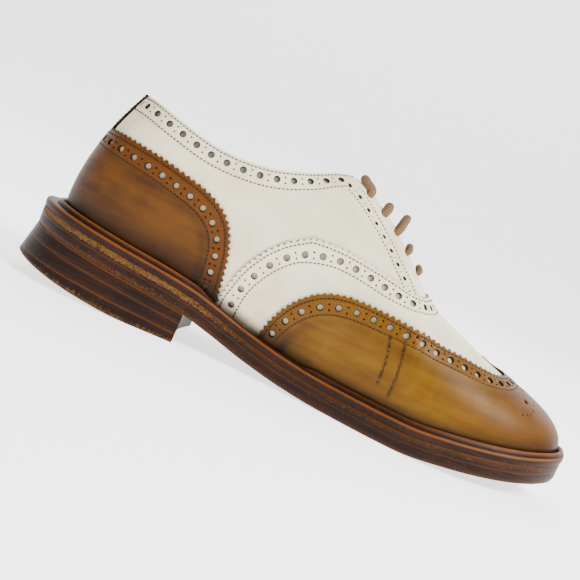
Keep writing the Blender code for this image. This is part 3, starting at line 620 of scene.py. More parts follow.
class Term:
    """A number socket that takes part in sums."""

    def __init__(self, graph: "Graph", socket: Any) -> None:
        """Wrap a socket of a graph."""
        self.graph = graph
        self.socket = socket

    def __add__(self, other: "Term | float") -> "Term":
        """Sum."""
        return self.graph.math("ADD", self, other)

    __radd__ = __add__

    def __sub__(self, other: "Term | float") -> "Term":
        """Difference."""
        return self.graph.math("SUBTRACT", self, other)

    def __rsub__(self, other: float) -> "Term":
        """Difference from a number."""
        return self.graph.math("SUBTRACT", other, self)

    def __mul__(self, other: "Term | float") -> "Term":
        """Product."""
        return self.graph.math("MULTIPLY", self, other)

    __rmul__ = __mul__

    def capped(self) -> "Term":
        """The value kept between 0 and 1."""
        return self.graph.math("ADD", self, 0.0, clamp=True)

    def over(self, low: float, high: float) -> "Term":
        """Smooth step from 0 at low to 1 at high."""
        made = self.graph.node(
            "ShaderNodeMapRange", {"interpolation_type": "SMOOTHSTEP"},
            Value=self, **{"From Min": low, "From Max": high},
        )
        return Term(self.graph, made.outputs["Result"])

    def near(self, centre: float, reach: float) -> "Term":
        """1 at a value, falling to 0 a reach away from it."""
        off = self.graph.math("ABSOLUTE", self - centre, 0.0)
        return 1.0 - off.over(0.0, reach)


def tint(code: str) -> tuple[float, float, float, float]:
    """A colour from its screen code."""
    channels = [int(code[i: i + 2], 16) / 255.0 for i in (1, 3, 5)]
    linear = [c / 12.92 if c <= 0.04045 else ((c + 0.055) / 1.055) ** 2.4 for c in channels]
    return (*linear, 1.0)


def add_node(tree: bpy.types.NodeTree, kind: str, settings: dict[str, Any] | None = None,
             **values: Any) -> Any:
    """Add a node to a tree.

    Args:
        tree: the tree, of a material or of geometry nodes.
        kind: the node's type.
        settings: its own settings, set before its sockets.
        values: a value, Term or socket for each named input, or by number as i0, i1.

    Returns:
        The node.
    """
    made = tree.nodes.new(kind)
    for name, value in (settings or {}).items():
        setattr(made, name, value)
    for name, value in values.items():
        numbered = name[0] == "i" and name[1:].isdigit()
        socket = made.inputs[int(name[1:]) if numbered else name]
        if isinstance(value, Term):
            value = value.socket
        if isinstance(value, bpy.types.NodeSocket):
            tree.links.new(value, socket)
        else:
            socket.default_value = value
    return made


class Graph:
    """A material's nodes, written as sums."""

    def __init__(self, name: str, **constants: float) -> None:
        """Make a material whose shader takes the constants on its own sockets."""
        self.material = bpy.data.materials.new(name)
        self.material.use_nodes = True
        self.tree = self.material.node_tree
        self.shader = self.tree.nodes["Principled BSDF"]
        for socket, value in constants.items():
            self.shader.inputs[socket.replace("_", " ")].default_value = value
        self.place = self.node("ShaderNodeTexCoord", {}).outputs["Object"]

    def node(self, kind: str, settings: dict[str, Any], **values: Any) -> Any:
        """Add a node, as add_node does."""
        return add_node(self.tree, kind, settings, **values)

    def math(self, operation: str, a: Any, b: Any, clamp: bool = False) -> Term:
        """A Math node on two values."""
        made = self.node("ShaderNodeMath", {"operation": operation, "use_clamp": clamp}, i0=a, i1=b)
        return Term(self, made.outputs[0])

    def attribute(self, name: str) -> Term:
        """A value kept on the mesh."""
        return Term(self, self.node("ShaderNodeAttribute", {"attribute_name": name}).outputs["Fac"])

    def noise(self, scale: float, detail: float = 3.0, rough: float = 0.55, place: Any = None) -> Term:
        """Cloudy noise, by its features a metre."""
        made = self.node(
            "ShaderNodeTexNoise", {}, Vector=place or self.place, Scale=scale, Detail=detail, Roughness=rough
        )
        return Term(self, made.outputs["Fac"])

    def parts(self, place: Any) -> list[Term]:
        """The X, Y and Z of places."""
        made = self.node("ShaderNodeSeparateXYZ", {}, Vector=place)
        return [Term(self, socket) for socket in made.outputs]

    def stretched(self, x: float, y: float, z: float, place: Any = None) -> Any:
        """Places scaled unevenly, so that a pattern runs one way."""
        made = self.node("ShaderNodeMapping", {}, Vector=place or self.place, Scale=(x, y, z))
        return made.outputs["Vector"]

    def drawn(self) -> Any:
        """Places on the piece's own map."""
        return self.node("ShaderNodeUVMap", {"uv_map": "leather"}).outputs["UV"]

    def mix(self, share: Any, first: Any, second: Any) -> Any:
        """A colour between two others."""
        made = self.node("ShaderNodeMix", {"data_type": "RGBA"}, Factor=share, i6=first, i7=second)
        return made.outputs[2]

    def finish(self, color: Any, rough: Any, height: Any, depth: float) -> bpy.types.Material:
        """Join colour, roughness and bump to the shader.

        Args:
            color: the colour's socket.
            rough: roughness, a Term or a number.
            height: the bump's height, a Term.
            depth: the height of a full bump, in metres.

        Returns:
            The material.
        """
        self.tree.links.new(color, self.shader.inputs["Base Color"])
        if isinstance(rough, Term):
            self.tree.links.new(rough.socket, self.shader.inputs["Roughness"])
        else:
            self.shader.inputs["Roughness"].default_value = rough
        bump = self.node("ShaderNodeBump", {}, Height=height, Distance=depth, Strength=1.0)
        self.tree.links.new(bump.outputs["Normal"], self.shader.inputs["Normal"])
        return self.material


@dataclass(frozen=True)
class CreamLeather:
    """Pale leather with a soft nap, darker towards the welt with road dirt and painted shade, and with
    painted shade in its stitch grooves and under its holes.
    """

    pale: str = "#EADFC2"
    shade: str = "#D8CCAC"
    # Dark colour of road dirt and of painted shade: near the welt, in the stitch grooves and under the
    # holes.
    dirt: str = "#4E4230"
    # Colour of cut walls and pinholes' floors: partly the burnt cut edge, partly painted shade inside the
    # holes.
    cut: str = "#33291B"

    def material(self, name: str, rows: tuple[float, ...] = ()) -> bpy.types.Material:
        """Make the material.

        Args:
            name: its name.
            rows: distances of its stitch rows from the rim, in millimetres.

        Returns:
            The material.
        """
        g = Graph(name, Specular_IOR_Level=0.30)
        rim, foot = g.attribute("rim"), g.attribute("foot")
        grain, cloud = g.noise(1500.0, 4.0), g.noise(38.0, 4.0, 0.6)
        speck = g.noise(420.0, 2.0).over(0.70, 0.80)
        color = g.mix(cloud.over(0.34, 0.70), tint(self.pale), tint(self.shade))
        # Darker towards the welt: partly road dirt, partly painted shade where the upper meets the welt; the
        # flecks are dirt.
        soil_and_shade = foot.over(0.0, 7.0)
        soil_and_shade = ((1.0 - soil_and_shade) * (0.35 + cloud)).capped() + 0.16 * speck
        # Painted shade on leather that lies under another piece, seen only through the punched holes.
        soil_and_shade = soil_and_shade + 0.50 * g.attribute("covered")
        # The stitch rows are darkened in colour as painted shade in their grooves.
        groove = sum((rim.near(row, 0.75) for row in rows), g.attribute("band").near(3.6, 0.7))
        color = g.mix((soil_and_shade + 0.18 * groove).capped(), color, tint(self.dirt))
        # Cut walls and pinholes' floors: burnt cut edge and painted shade in the holes.
        color = g.mix(g.attribute("wall"), color, tint(self.cut))
        height = 0.10 * grain + 0.25 * g.noise(520.0, 3.0) - 0.75 * groove
        return g.finish(color, 0.62 + 0.20 * grain, height, 0.00022)


@dataclass(frozen=True)
class TanLeather:
    """Smooth leather, hand-burnished darker to its edges, and darker towards the welt with burnish and
    painted shade.
    """

    centre: str = "#6D4A05"
    warm: str = "#593704"
    band: str = "#603C06"
    # Dark brown of the burnish and of the painted shade towards the welt.
    burnt: str = "#241205"
    toe: str = "#502B04"
    # Near-black of the stitch grooves' painted shade, of the edge dye along the rim and of the holes'
    # painted shade.
    thread_line: str = "#0E0603"
    # Height over the welt, in millimetres, that the burnish and painted shade reach.
    burnt_reach: float = 9.0
    back_end: float = 0.098
    toe_start: float = 0.150
    toe_end: float = 0.205
    band_width: float = 11.4

    def material(self, name: str, rows: tuple[float, ...]) -> bpy.types.Material:
        """Make the material.

        Args:
            name: its name.
            rows: distances of its stitch rows from the rim, in millimetres.

        Returns:
            The material.
        """
        g = Graph(name, Specular_IOR_Level=0.13)
        rim, foot = g.attribute("rim"), g.attribute("foot")
        along = g.parts(g.place)[0]
        cloud, brushed = g.noise(26.0, 4.0, 0.6), g.noise(140.0, 4.0, 0.65)
        streak = g.noise(60.0, 3.0, 0.6, g.stretched(0.35, 1.0, 3.0))
        grain = g.noise(1700.0, 3.0)
        color = g.mix((0.6 * cloud + 0.5 * streak).over(0.42, 0.70), tint(self.centre), tint(self.warm))
        toe = along.over(self.toe_start, self.toe_end)
        color = g.mix(toe * (0.55 + 0.6 * cloud).capped(), color, tint(self.toe))
        inside = g.attribute("band").over(3.5, 4.2)
        color = g.mix((1.0 - inside) * 0.85, color, tint(self.band))
        edge = rim.near(self.band_width + 1.2, 4.5) * inside * 0.30
        back = 1.0 - along.over(self.back_end - 0.04, self.back_end)
        reach = foot * (1.0 - 0.50 * back)
        # Darker towards the welt over the reach: burnish, and painted shade where the upper meets the welt.
        burnish_shade = 1.0 - (reach + 0.45 * self.burnt_reach * (cloud - 0.5)).over(0.0, self.burnt_reach)
        burnish_shade = (burnish_shade * 0.84 + edge + 0.16 * (brushed.over(0.5, 0.75))).capped()
        color = g.mix(burnish_shade, color, tint(self.burnt))
        # Stitch grooves are darkened as painted shade; the thin line along the rim and the cut walls are the
        # dark edge dye, the holes and pinholes' floors painted shade.
        groove = sum((rim.near(row, 0.60) for row in rows), g.attribute("band").near(3.6, 0.6))
        dark = groove * 0.40 + 0.75 * (1.0 - rim.over(0.0, 0.50)) + 0.8 * g.attribute("wall")
        scratch = g.attribute("scratch") * g.noise(900.0, 3.0).over(0.36, 0.52)
        color = g.mix((dark + scratch * 0.9).capped(), color, tint(self.thread_line))
        height = 0.05 * grain + 0.20 * g.noise(480.0, 3.0) - 0.9 * groove - 0.5 * scratch
        rough = 0.33 + 0.16 * cloud + 0.10 * grain + 0.18 * g.attribute("wall")
        return g.finish(color, rough, height, 0.00018)


@dataclass(frozen=True)
class StackedLeather:
    """Waxed edge leather in thin layers, worn through to tan at its corners."""

    dark: str = "#140803"
    mid: str = "#2A1207"
    worn: str = "#5E401E"
    rubbed: str = "#683C18"
    layers: float = 1100.0
    wear: float = 0.5
    gloss: float = 0.36

    def material(self, name: str) -> bpy.types.Material:
        """Make the material."""
        g = Graph(name, Specular_IOR_Level=0.12)
        edge, side = g.attribute("edge"), g.attribute("side")
        cloud, fine = g.noise(45.0, 4.0, 0.6), g.noise(1050.0, 4.0, 0.7)
        streak = g.noise(self.layers, 2.0, 0.5, g.stretched(0.03, 0.03, 1.0))
        patch = g.noise(150.0, 3.0, 0.7, g.stretched(0.45, 0.45, 1.4))
        color = g.mix((0.5 * streak + 0.5 * cloud).over(0.40, 0.66), tint(self.dark), tint(self.mid))
        rub = (edge * (0.55 + 0.7 * cloud)).capped()
        color = g.mix(rub * 0.85, color, tint(self.rubbed))
        along = g.parts(g.place)[0]
        worn = g.attribute("worn") * (0.10 + 1.15 * patch) * (1.0 - 0.70 * along.over(0.0, 0.06))
        chips = (fine + 0.27 * worn).over(0.60, 0.74) * (worn * 1.6).capped()
        specks = fine.over(0.61, 0.72) * 0.38 * side
        chips = (chips * (2.0 * self.wear) + specks).capped()
        color = g.mix(chips, color, tint(self.worn))
        height = 0.45 * streak * side + 0.30 * fine - 0.45 * chips
        rough = self.gloss + 0.22 * cloud + 0.30 * chips
        return g.finish(color, rough, height, 0.00030)


@dataclass(frozen=True)
class PlainLeather:
    """Vegetable-tanned leather of insole, lining and soles' undersides."""

    color: str = "#B98E60"
    shade: str = "#8E6A45"
    scale: float = 900.0
    roughness: float = 0.58

    def material(self, name: str) -> bpy.types.Material:
        """Make the material."""
        g = Graph(name, Specular_IOR_Level=0.15)
        cloud, grain = g.noise(55.0, 4.0, 0.6), g.noise(self.scale, 4.0)
        color = g.mix(cloud.over(0.3, 0.75), tint(self.color), tint(self.shade))
        color = g.mix(grain.over(0.62, 0.80) * 0.4, color, tint(self.shade))
        return g.finish(color, self.roughness + 0.15 * cloud, 0.5 * grain, 0.00020)


@dataclass(frozen=True)
class Lining:
    """Thin lining leather, its outer face painted dark grey as the shade seen through the punched holes."""

    inside: str = "#B79F78"
    shade: str = "#9C8A6C"
    # Painted shade: the outer face, seen only through the holes, is dark grey.
    behind: str = "#77726B"

    def material(self, name: str) -> bpy.types.Material:
        """Make the material."""
        g = Graph(name, Specular_IOR_Level=0.30)
        cloud, grain = g.noise(60.0, 3.0), g.noise(1300.0, 3.0)
        color = g.mix(cloud.over(0.35, 0.7) * 0.35, tint(self.inside), tint(self.shade))
        # The outer face takes the painted hole shade.
        color = g.mix(g.attribute("front"), color, tint(self.behind))
        return g.finish(color, 0.55 + 0.2 * grain, grain, 0.00012)


@dataclass(frozen=True)
class Cotton:
    """Round cotton lace, woven in small diamonds."""

    light: str = "#866B50"
    dark: str = "#5A4530"
    turns: float = 9.0
    pitch: float = 1.7

    def material(self, name: str) -> bpy.types.Material:
        """Make the material."""
        g = Graph(name, Specular_IOR_Level=0.15)
        run, around, _ = g.parts(g.drawn())
        waves = []
        for sign in (1.0, -1.0):
            phase = (run * (1.0 / self.pitch) + sign * self.turns * around) * (2.0 * math.pi)
            waves.append(g.math("SINE", phase, 0.0) * 0.5 + 0.5)
        weave = waves[0] * waves[1]
        fuzz = g.noise(1800.0, 3.0)
        color = g.mix((0.25 * weave + 0.8 * fuzz).over(0.25, 0.75), tint(self.dark), tint(self.light))
        return g.finish(color, 0.9, 0.5 * weave + 0.8 * fuzz, 0.00016)


@dataclass(frozen=True)
class Thread:
    """Waxed sewing thread."""

    color: str = "#0C0705"
    light: str = "#22170F"

    def material(self, name: str) -> bpy.types.Material:
        """Make the material."""
        g = Graph(name, Specular_IOR_Level=0.3)
        twist = g.noise(2400.0, 2.0)
        color = g.mix(twist.over(0.4, 0.7), tint(self.color), tint(self.light))
        return g.finish(color, 0.6, twist, 0.0001)


def new_object(name: str, data: bpy.types.ID) -> bpy.types.Object:
    """An object in the scene for a mesh, a light or a camera."""
    thing = bpy.data.objects.new(name, data)
    bpy.context.scene.collection.objects.link(thing)
    return thing


def build_mesh(name: str, verts: np.ndarray, faces: list, material: bpy.types.Material,
               corner: float = 42.0) -> bpy.types.Mesh:
    """A mesh shaded smooth, but for corners sharper than an angle in degrees."""
    mesh = bpy.data.meshes.new(name)
    mesh.from_pydata([tuple(p) for p in verts], [], faces)
    mesh.validate()
    mesh.materials.append(material)
    mesh.shade_smooth()
    mesh.set_sharp_from_angle(angle=math.radians(corner))
    return mesh


def keep_value(mesh: bpy.types.Mesh, name: str, values: np.ndarray) -> None:
    """Store a value at each corner point of a mesh."""
    made = mesh.attributes.new(name, "FLOAT", "POINT")
    made.data.foreach_set("value", np.asarray(values, np.float32))


def keep_map(mesh: bpy.types.Mesh, places: np.ndarray) -> None:
    """Store the piece's own map, in millimetres."""
    corners = np.zeros(len(mesh.loops), int)
    mesh.loops.foreach_get("vertex_index", corners)
    layer = mesh.uv_layers.new(name="leather")
    layer.data.foreach_set("uv", np.asarray(places, np.float32)[corners].ravel())


def ride(thing: bpy.types.Object, slot: str, *nodes: str) -> bpy.types.Object:
    """Put a finished piece on the shoe's body, hiding the imported nodes it stands for."""
    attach(thing, BODY)
    if nodes:
        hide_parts(*nodes)
    log.info("%s: %d faces", thing.name, len(thing.data.polygons))
    return thing


@dataclass
class Sheet:
    """A piece of leather cut along an outline and punched, between two heights over the last."""

    last: Last
    name: str
    outline: np.ndarray
    outer: float
    inner: float
    holes: list[np.ndarray] = field(default_factory=list)
    rim: np.ndarray | None = None
    spacing: tuple[float, float] = (0.17, 0.0155)
    edge_drop: float = 0.00022
    puff: float = 0.00018
    rows: tuple[float, ...] = ()
    hole_line: np.ndarray | None = None
    covers: list[np.ndarray] = field(default_factory=list)
    plain_edge: bool = False
    skive: float = 0.0
    taper: float = 0.80
    pin_depth: float = 0.45 * MM
    band_centre: float = 7.0
    foot_start: float = 4.5

    def grid(self) -> np.ndarray:
        """Places inside the outline, clear of its edge and of the holes."""
        low, high = self.outline.min(0), self.outline.max(0)
        w = np.arange(low[0] + self.spacing[0] / 2.0, high[0], self.spacing[0])
        v = np.arange(self.spacing[1] / 2.0, 1.0, self.spacing[1])
        grid = np.stack(np.meshgrid(w, v), axis=-1).reshape(-1, 2)
        grid = grid[(grid[:, 1] > low[1]) & (grid[:, 1] < high[1])]
        grid = grid[self.inside(grid, self.outline)]
        clear = np.ones(len(grid), bool)
        marks = np.concatenate([self.outline] + self.holes) * Track.STRETCH
        for start in range(0, len(grid), 2000):
            block = grid[start: start + 2000] * Track.STRETCH
            near = ((block[:, None, :] - marks[None, :, :]) ** 2).sum(axis=2).min(axis=1)
            clear[start: start + 2000] = near > (0.50 * MM) ** 2
        return grid[clear]

    def inside(self, grid: np.ndarray, outline: np.ndarray) -> np.ndarray:
        """Which places lie inside an outline."""
        a, b = outline, np.roll(outline, -1, axis=0)
        found = np.zeros(len(grid), bool)
        for (x1, y1), (x2, y2) in zip(a, b):
            if y1 == y2:
                continue
            crosses = (y1 > grid[:, 1]) != (y2 > grid[:, 1])
            at = x1 + (x2 - x1) * (grid[:, 1] - y1) / (y2 - y1)
            found ^= crosses & (grid[:, 0] < at)
        return found

    def triangles(self) -> tuple[np.ndarray, np.ndarray]:
        """Places and triangles of the cut and punched piece."""
        loops = [self.outline] + self.holes
        places = np.concatenate(loops + [self.grid()])
        faces, start = [], 0
        for loop in loops:
            faces.append(list(range(start, start + len(loop))))
            start += len(loop)
        scale = np.array(Track.STRETCH) / MM
        points = [Vector(p) for p in places * scale]
        made = delaunay_2d_cdt(points, [], faces, 2, 1e-5)
        found = np.array([tuple(p) for p in made[0]]) / scale
        return found, np.array([tuple(f) for f in made[2]])

    def welded(self, places: np.ndarray, triangles: np.ndarray) -> tuple[np.ndarray, np.ndarray]:
        """Join places that are one point of the shoe: along the crest, and round the back or toe."""
        ring, station = np.mod(places[:, 0], TURN), station_of(places[:, 0])
        crest = (places[:, 1] > 1.0 - 1e-5) & (station >= THROAT - 1e-4)
        ring = np.where(crest, station, ring)
        keys = np.round(np.stack((np.where(ring > TURN - 1e-5, 0.0, ring), places[:, 1]), axis=-1), 5)
        _, first, index = np.unique(keys, axis=0, return_index=True, return_inverse=True)
        found = index.reshape(-1)[triangles]
        whole = (found[:, 0] != found[:, 1]) & (found[:, 1] != found[:, 2]) & (found[:, 0] != found[:, 2])
        return places[first], found[whole]

    def narrowed(self, places: np.ndarray) -> np.ndarray:
        """The places with each large hole drawn in, as a punch leaves it below."""
        centres = {}
        for ring in self.holes:
            if len(ring) >= ROUND:
                centre = ring.mean(axis=0)
                centres.update({tuple(np.round(place, 4)): centre for place in ring})
        made = places.copy()
        for i, place in enumerate(places):
            centre = centres.get(tuple(np.round(place, 4)))
            if centre is not None:
                made[i] = centre + (place - centre) * self.taper
        return made

    def band_value(self, face: np.ndarray, rim: np.ndarray) -> np.ndarray:
        """Millimetres to the line of holes, counted below zero on its rim's side."""
        if self.hole_line is None:
            return np.full(len(face), -FAR)
        band = distances(near_tree(self.last.wall(*self.hole_line.T)), face) / MM
        return np.where(rim > self.band_centre, band, -band)

    def covered_value(self, places: np.ndarray) -> np.ndarray:
        """1 where another piece lies over this one, and 0 elsewhere."""
        covered = np.zeros(len(places))
        for cover in self.covers:
            for turned in (0.0, TURN, -TURN):
                covered += self.inside(places + np.array([turned, 0.0]), cover)
        return np.minimum(covered, 1.0)

    def scratch_value(self, face: np.ndarray, lines: tuple[np.ndarray, ...]) -> np.ndarray:
        """1 along scratches, falling to 0 beside them."""
        scratch = np.zeros(len(face))
        for line in lines:
            scratch = np.maximum(scratch, 1.0 - fade(distances(near_tree(line), face) / MM, 0.1, 1.2))
        return scratch

    def build(self, material: bpy.types.Material,
              scratches: tuple[np.ndarray, ...] = ()) -> bpy.types.Object:
        """Build the piece, with its values for the finish.

        Args:
            material: its finish.
            scratches: lines of points along which it is scratched.

        Returns:
            The piece.
        """
        places, triangles = self.welded(*self.triangles())
        directed = {(int(t[i]), int(t[(i + 1) % 3])) for t in triangles for i in range(3)}
        cut_sides = sorted((a, b) for a, b in directed if (b, a) not in directed)
        on_cut = sorted({i for pair in cut_sides for i in pair})
        on_edge = np.zeros(len(places), bool)
        on_edge[on_cut] = True
        w, v = places.T
        face = self.last.wall(w, v)
        marks = self.last.wall(*self.rim.T) if self.rim is not None else face[on_edge]
        rim = distances(near_tree(marks), face) / MM
        lift = np.full(len(places), self.outer) - np.where(on_edge, self.edge_drop, 0.0)
        if len(self.rows) == 2:
            middle, half = sum(self.rows) / 2.0, (self.rows[1] - self.rows[0]) / 2.0
            lift += self.puff * np.clip(1.0 - ((rim - middle) / half) ** 2, 0.0, 1.0)
        skive = self.skive * fade(v, 0.93, 0.985) * (1.0 - fade(station_of(w), 28.0, 29.2))
        top = self.last.skin(w, v, lift - skive)
        low = self.last.skin(*self.narrowed(places).T, self.inner - skive)

        total, count = len(places), len(on_cut)
        slot = {i: 2 * total + k for k, i in enumerate(on_cut)}
        faces = [tuple(int(i) for i in t) for t in triangles]
        faces += [(int(c) + total, int(b) + total, int(a) + total) for a, b, c in triangles]
        faces += [(slot[b], slot[a], slot[a] + count, slot[b] + count) for a, b in cut_sides]
        # Each pinhole ends in a shallow floor that the finish colours dark, as painted shade of a deeper
        # hole.
        floors = []
        start = 2 * total + 2 * count
        for pin in (ring for ring in self.holes if len(ring) < ROUND):
            faces.append(tuple(range(start, start + len(pin))))
            floors.append(self.last.skin(*pin.T, np.full(len(pin), self.outer - self.pin_depth)))
            start += len(pin)
        blind = start - 2 * total - 2 * count
        verts = np.concatenate([top, low, top[on_cut], low[on_cut]] + floors)
        mesh = build_mesh(self.name, verts, faces, material)

        def spread(values: np.ndarray) -> np.ndarray:
            """Values of both faces, of the cut edge and of the pinholes' floors."""
            more = np.full((blind,) + values.shape[1:], FAR)
            return np.concatenate((values, values, values[on_cut], values[on_cut], more))

        floor = self.last.floor(face[:, 0]) + self.last.gap
        keep_value(mesh, "rim", spread(rim))
        keep_value(mesh, "foot", spread((face[:, 2] - floor) / MM - self.foot_start))
        cut = np.ones(count)
        if self.plain_edge:
            cut = 1.0 * ((v[on_cut] > 1e-4) & (v[on_cut] < 1.0 - 1e-4))
        # The wall value darkens cut walls and the pinholes' floors: the edge's own colour and painted shade
        # in the holes.
        keep_value(mesh, "wall", np.concatenate((np.zeros(2 * total), cut, cut, np.ones(blind))))
        keep_value(mesh, "band", spread(self.band_value(face, rim)))
        # The finishes paint shade where this value marks covered leather, seen through the holes.
        keep_value(mesh, "covered", spread(self.covered_value(places)))
        # front marks the outer face, which the lining's finish paints dark as the shade in the holes.
        keep_value(mesh, "front", np.concatenate((np.ones(total), np.zeros(total + 2 * count + blind))))
        keep_value(mesh, "scratch", spread(self.scratch_value(face, scratches)))
        keep_map(mesh, spread(places * np.array(Track.STRETCH) / MM))
        return new_object(self.name, mesh)


@dataclass
class Stitches:
    """Rows of stitches along lines on the leather, laid by geometry nodes."""

    pitch: float = 2.0
    length: float = 1.36
    width: float = 0.70
    height: float = 0.68
    lines: list[np.ndarray] = field(default_factory=list)
    normals: list[np.ndarray] = field(default_factory=list)

    def along(self, track: Track, lift: float) -> None:
        """Add a row of stitches along a line, at a height over the last."""
        self.lines.append(track.last.skin(*track.places.T, np.full(len(track.places), lift + 0.06 * MM)))
        self.normals.append(track.last.normal(*track.places.T))

    def tree(self, material: bpy.types.Material) -> bpy.types.NodeTree:
        """The node tree that lays one stitch a pitch along each line."""
        tree = bpy.data.node_groups.new("stitch row", "GeometryNodeTree")
        tree.interface.new_socket("Geometry", in_out="INPUT", socket_type="NodeSocketGeometry")
        for name in ("Pitch", "Length", "Width", "Height"):
            tree.interface.new_socket(name, in_out="INPUT", socket_type="NodeSocketFloat")
        tree.interface.new_socket("Geometry", in_out="OUTPUT", socket_type="NodeSocketGeometry")

        add = partial(add_node, tree)
        given = add("NodeGroupInput").outputs
        curve = add("GeometryNodeMeshToCurve", Mesh=given["Geometry"])
        even = add(
            "GeometryNodeResampleCurve", {"mode": "LENGTH"}, Curve=curve.outputs[0], Length=given["Pitch"]
        )
        out = add("GeometryNodeInputNamedAttribute", {"data_type": "FLOAT_VECTOR"}, Name="out")
        up = add("FunctionNodeAlignRotationToVector", {"axis": "Z"}, Vector=out.outputs[0])
        tangent = add("GeometryNodeInputTangent")
        turn = add(
            "FunctionNodeAlignRotationToVector", {"axis": "X", "pivot_axis": "Z"},
            Rotation=up.outputs[0], Vector=tangent.outputs[0],
        )
        ball = add("GeometryNodeMeshUVSphere", Segments=6, Rings=4, Radius=0.5)
        size = add("ShaderNodeCombineXYZ", X=given["Length"], Y=given["Width"], Z=given["Height"])
        shape = add("GeometryNodeTransform", Geometry=ball.outputs[0], Scale=size.outputs[0])
        laid = add(
            "GeometryNodeInstanceOnPoints", Points=even.outputs[0], Instance=shape.outputs[0],
            Rotation=turn.outputs[0],
        )
        real = add("GeometryNodeRealizeInstances", Geometry=laid.outputs[0])
        smooth = add("GeometryNodeSetShadeSmooth", Geometry=real.outputs[0])
        dressed = add("GeometryNodeSetMaterial", Geometry=smooth.outputs[0], Material=material)
        tree.links.new(dressed.outputs[0], add("NodeGroupOutput").inputs[0])
        return tree

    def build(self, name: str, material: bpy.types.Material) -> bpy.types.Object:
        """Lay the stitches and turn them into one plain mesh."""
        verts = np.concatenate(self.lines)
        edges, start = [], 0
        for line in self.lines:
            edges += [(start + i, start + i + 1) for i in range(len(line) - 1)]
            start += len(line)
        mesh = bpy.data.meshes.new(name + "_lines")
        mesh.from_pydata([tuple(p) for p in verts], edges, [])
        out = mesh.attributes.new("out", "FLOAT_VECTOR", "POINT")
        out.data.foreach_set("vector", np.concatenate(self.normals).astype(np.float32).ravel())
        guide = new_object(name + "_lines", mesh)
        laid = guide.modifiers.new("stitches", "NODES")
        laid.node_group = self.tree(material)
        sizes = {"Pitch": self.pitch, "Length": self.length, "Width": self.width, "Height": self.height}
        for socket in laid.node_group.interface.items_tree:
            if socket.item_type == "SOCKET" and socket.name in sizes:
                laid[socket.identifier] = sizes[socket.name] * MM
        view = bpy.context.evaluated_depsgraph_get()
        plain = bpy.data.meshes.new_from_object(guide.evaluated_get(view))
        plain.name = name
        bpy.data.objects.remove(guide)
        return new_object(name, plain)


def mirrored(rows: tuple[Spot, ...], side: Side) -> np.ndarray:
    """A table's places on one side of the shoe."""
    return np.array([(side.place(r.station), r.v) for r in rows])


def level_line(first: float, last: float, count: int, v: float) -> np.ndarray:
    """Places along a level line between two places round the shoe."""
    return np.stack((np.linspace(first, last, count), np.full(count, v)), axis=-1)


def there_and_back(half: np.ndarray, total: float) -> np.ndarray:
    """A line up to the middle and its image on the other side, whose stations make up a total."""
    return np.concatenate((half, half[-2::-1] * (-1.0, 1.0) + (total, 0.0)))


def from_back(holes: list[np.ndarray]) -> list[np.ndarray]:
    """The holes, with those of the outer side counted below zero from the back seam."""
    for hole in holes:
        hole[hole[:, 0] > TOE, 0] -= TURN
    return holes


@dataclass
class Broguing:
    """A punched and stitched band along a rim: sizes in metres, all from the rim inwards."""

    hole: float = 1.74 * MM
    pin: float = 0.52 * MM
    pitch: float = 8.6 * MM
    centre: float = 7.0 * MM
    pin_spread: float = 1.45 * MM
    first_row: float = 2.0 * MM
    row_inwards: float = 3.6 * MM
    tooth_pitch: float = 3.2 * MM
    tooth_height: float = 1.5 * MM
    hole_sides: int = 16
    pin_sides: int = 8
    ease: float = 0.0

    @property
    def rows(self) -> tuple[float, float]:
        """Distances of the two stitch rows from the rim, in millimetres."""
        return (self.first_row / MM, (self.centre + self.row_inwards) / MM)

    def punch(self, line: Track, start: float, end: float, narrow: float = 1.0) -> list[np.ndarray]:
        """Large holes along a line, with two pinholes between each pair."""
        spots = line.spots(self.pitch, start, end, self.ease)
        holes = [line.ring(s, 0.0, self.hole, self.hole_sides, narrow) for s in spots]
        for middle in (spots[1:] + spots[:-1]) / 2.0:
            for across in (self.pin_spread, -self.pin_spread):
                holes.append(line.ring(middle, across, self.pin, self.pin_sides))
        return holes


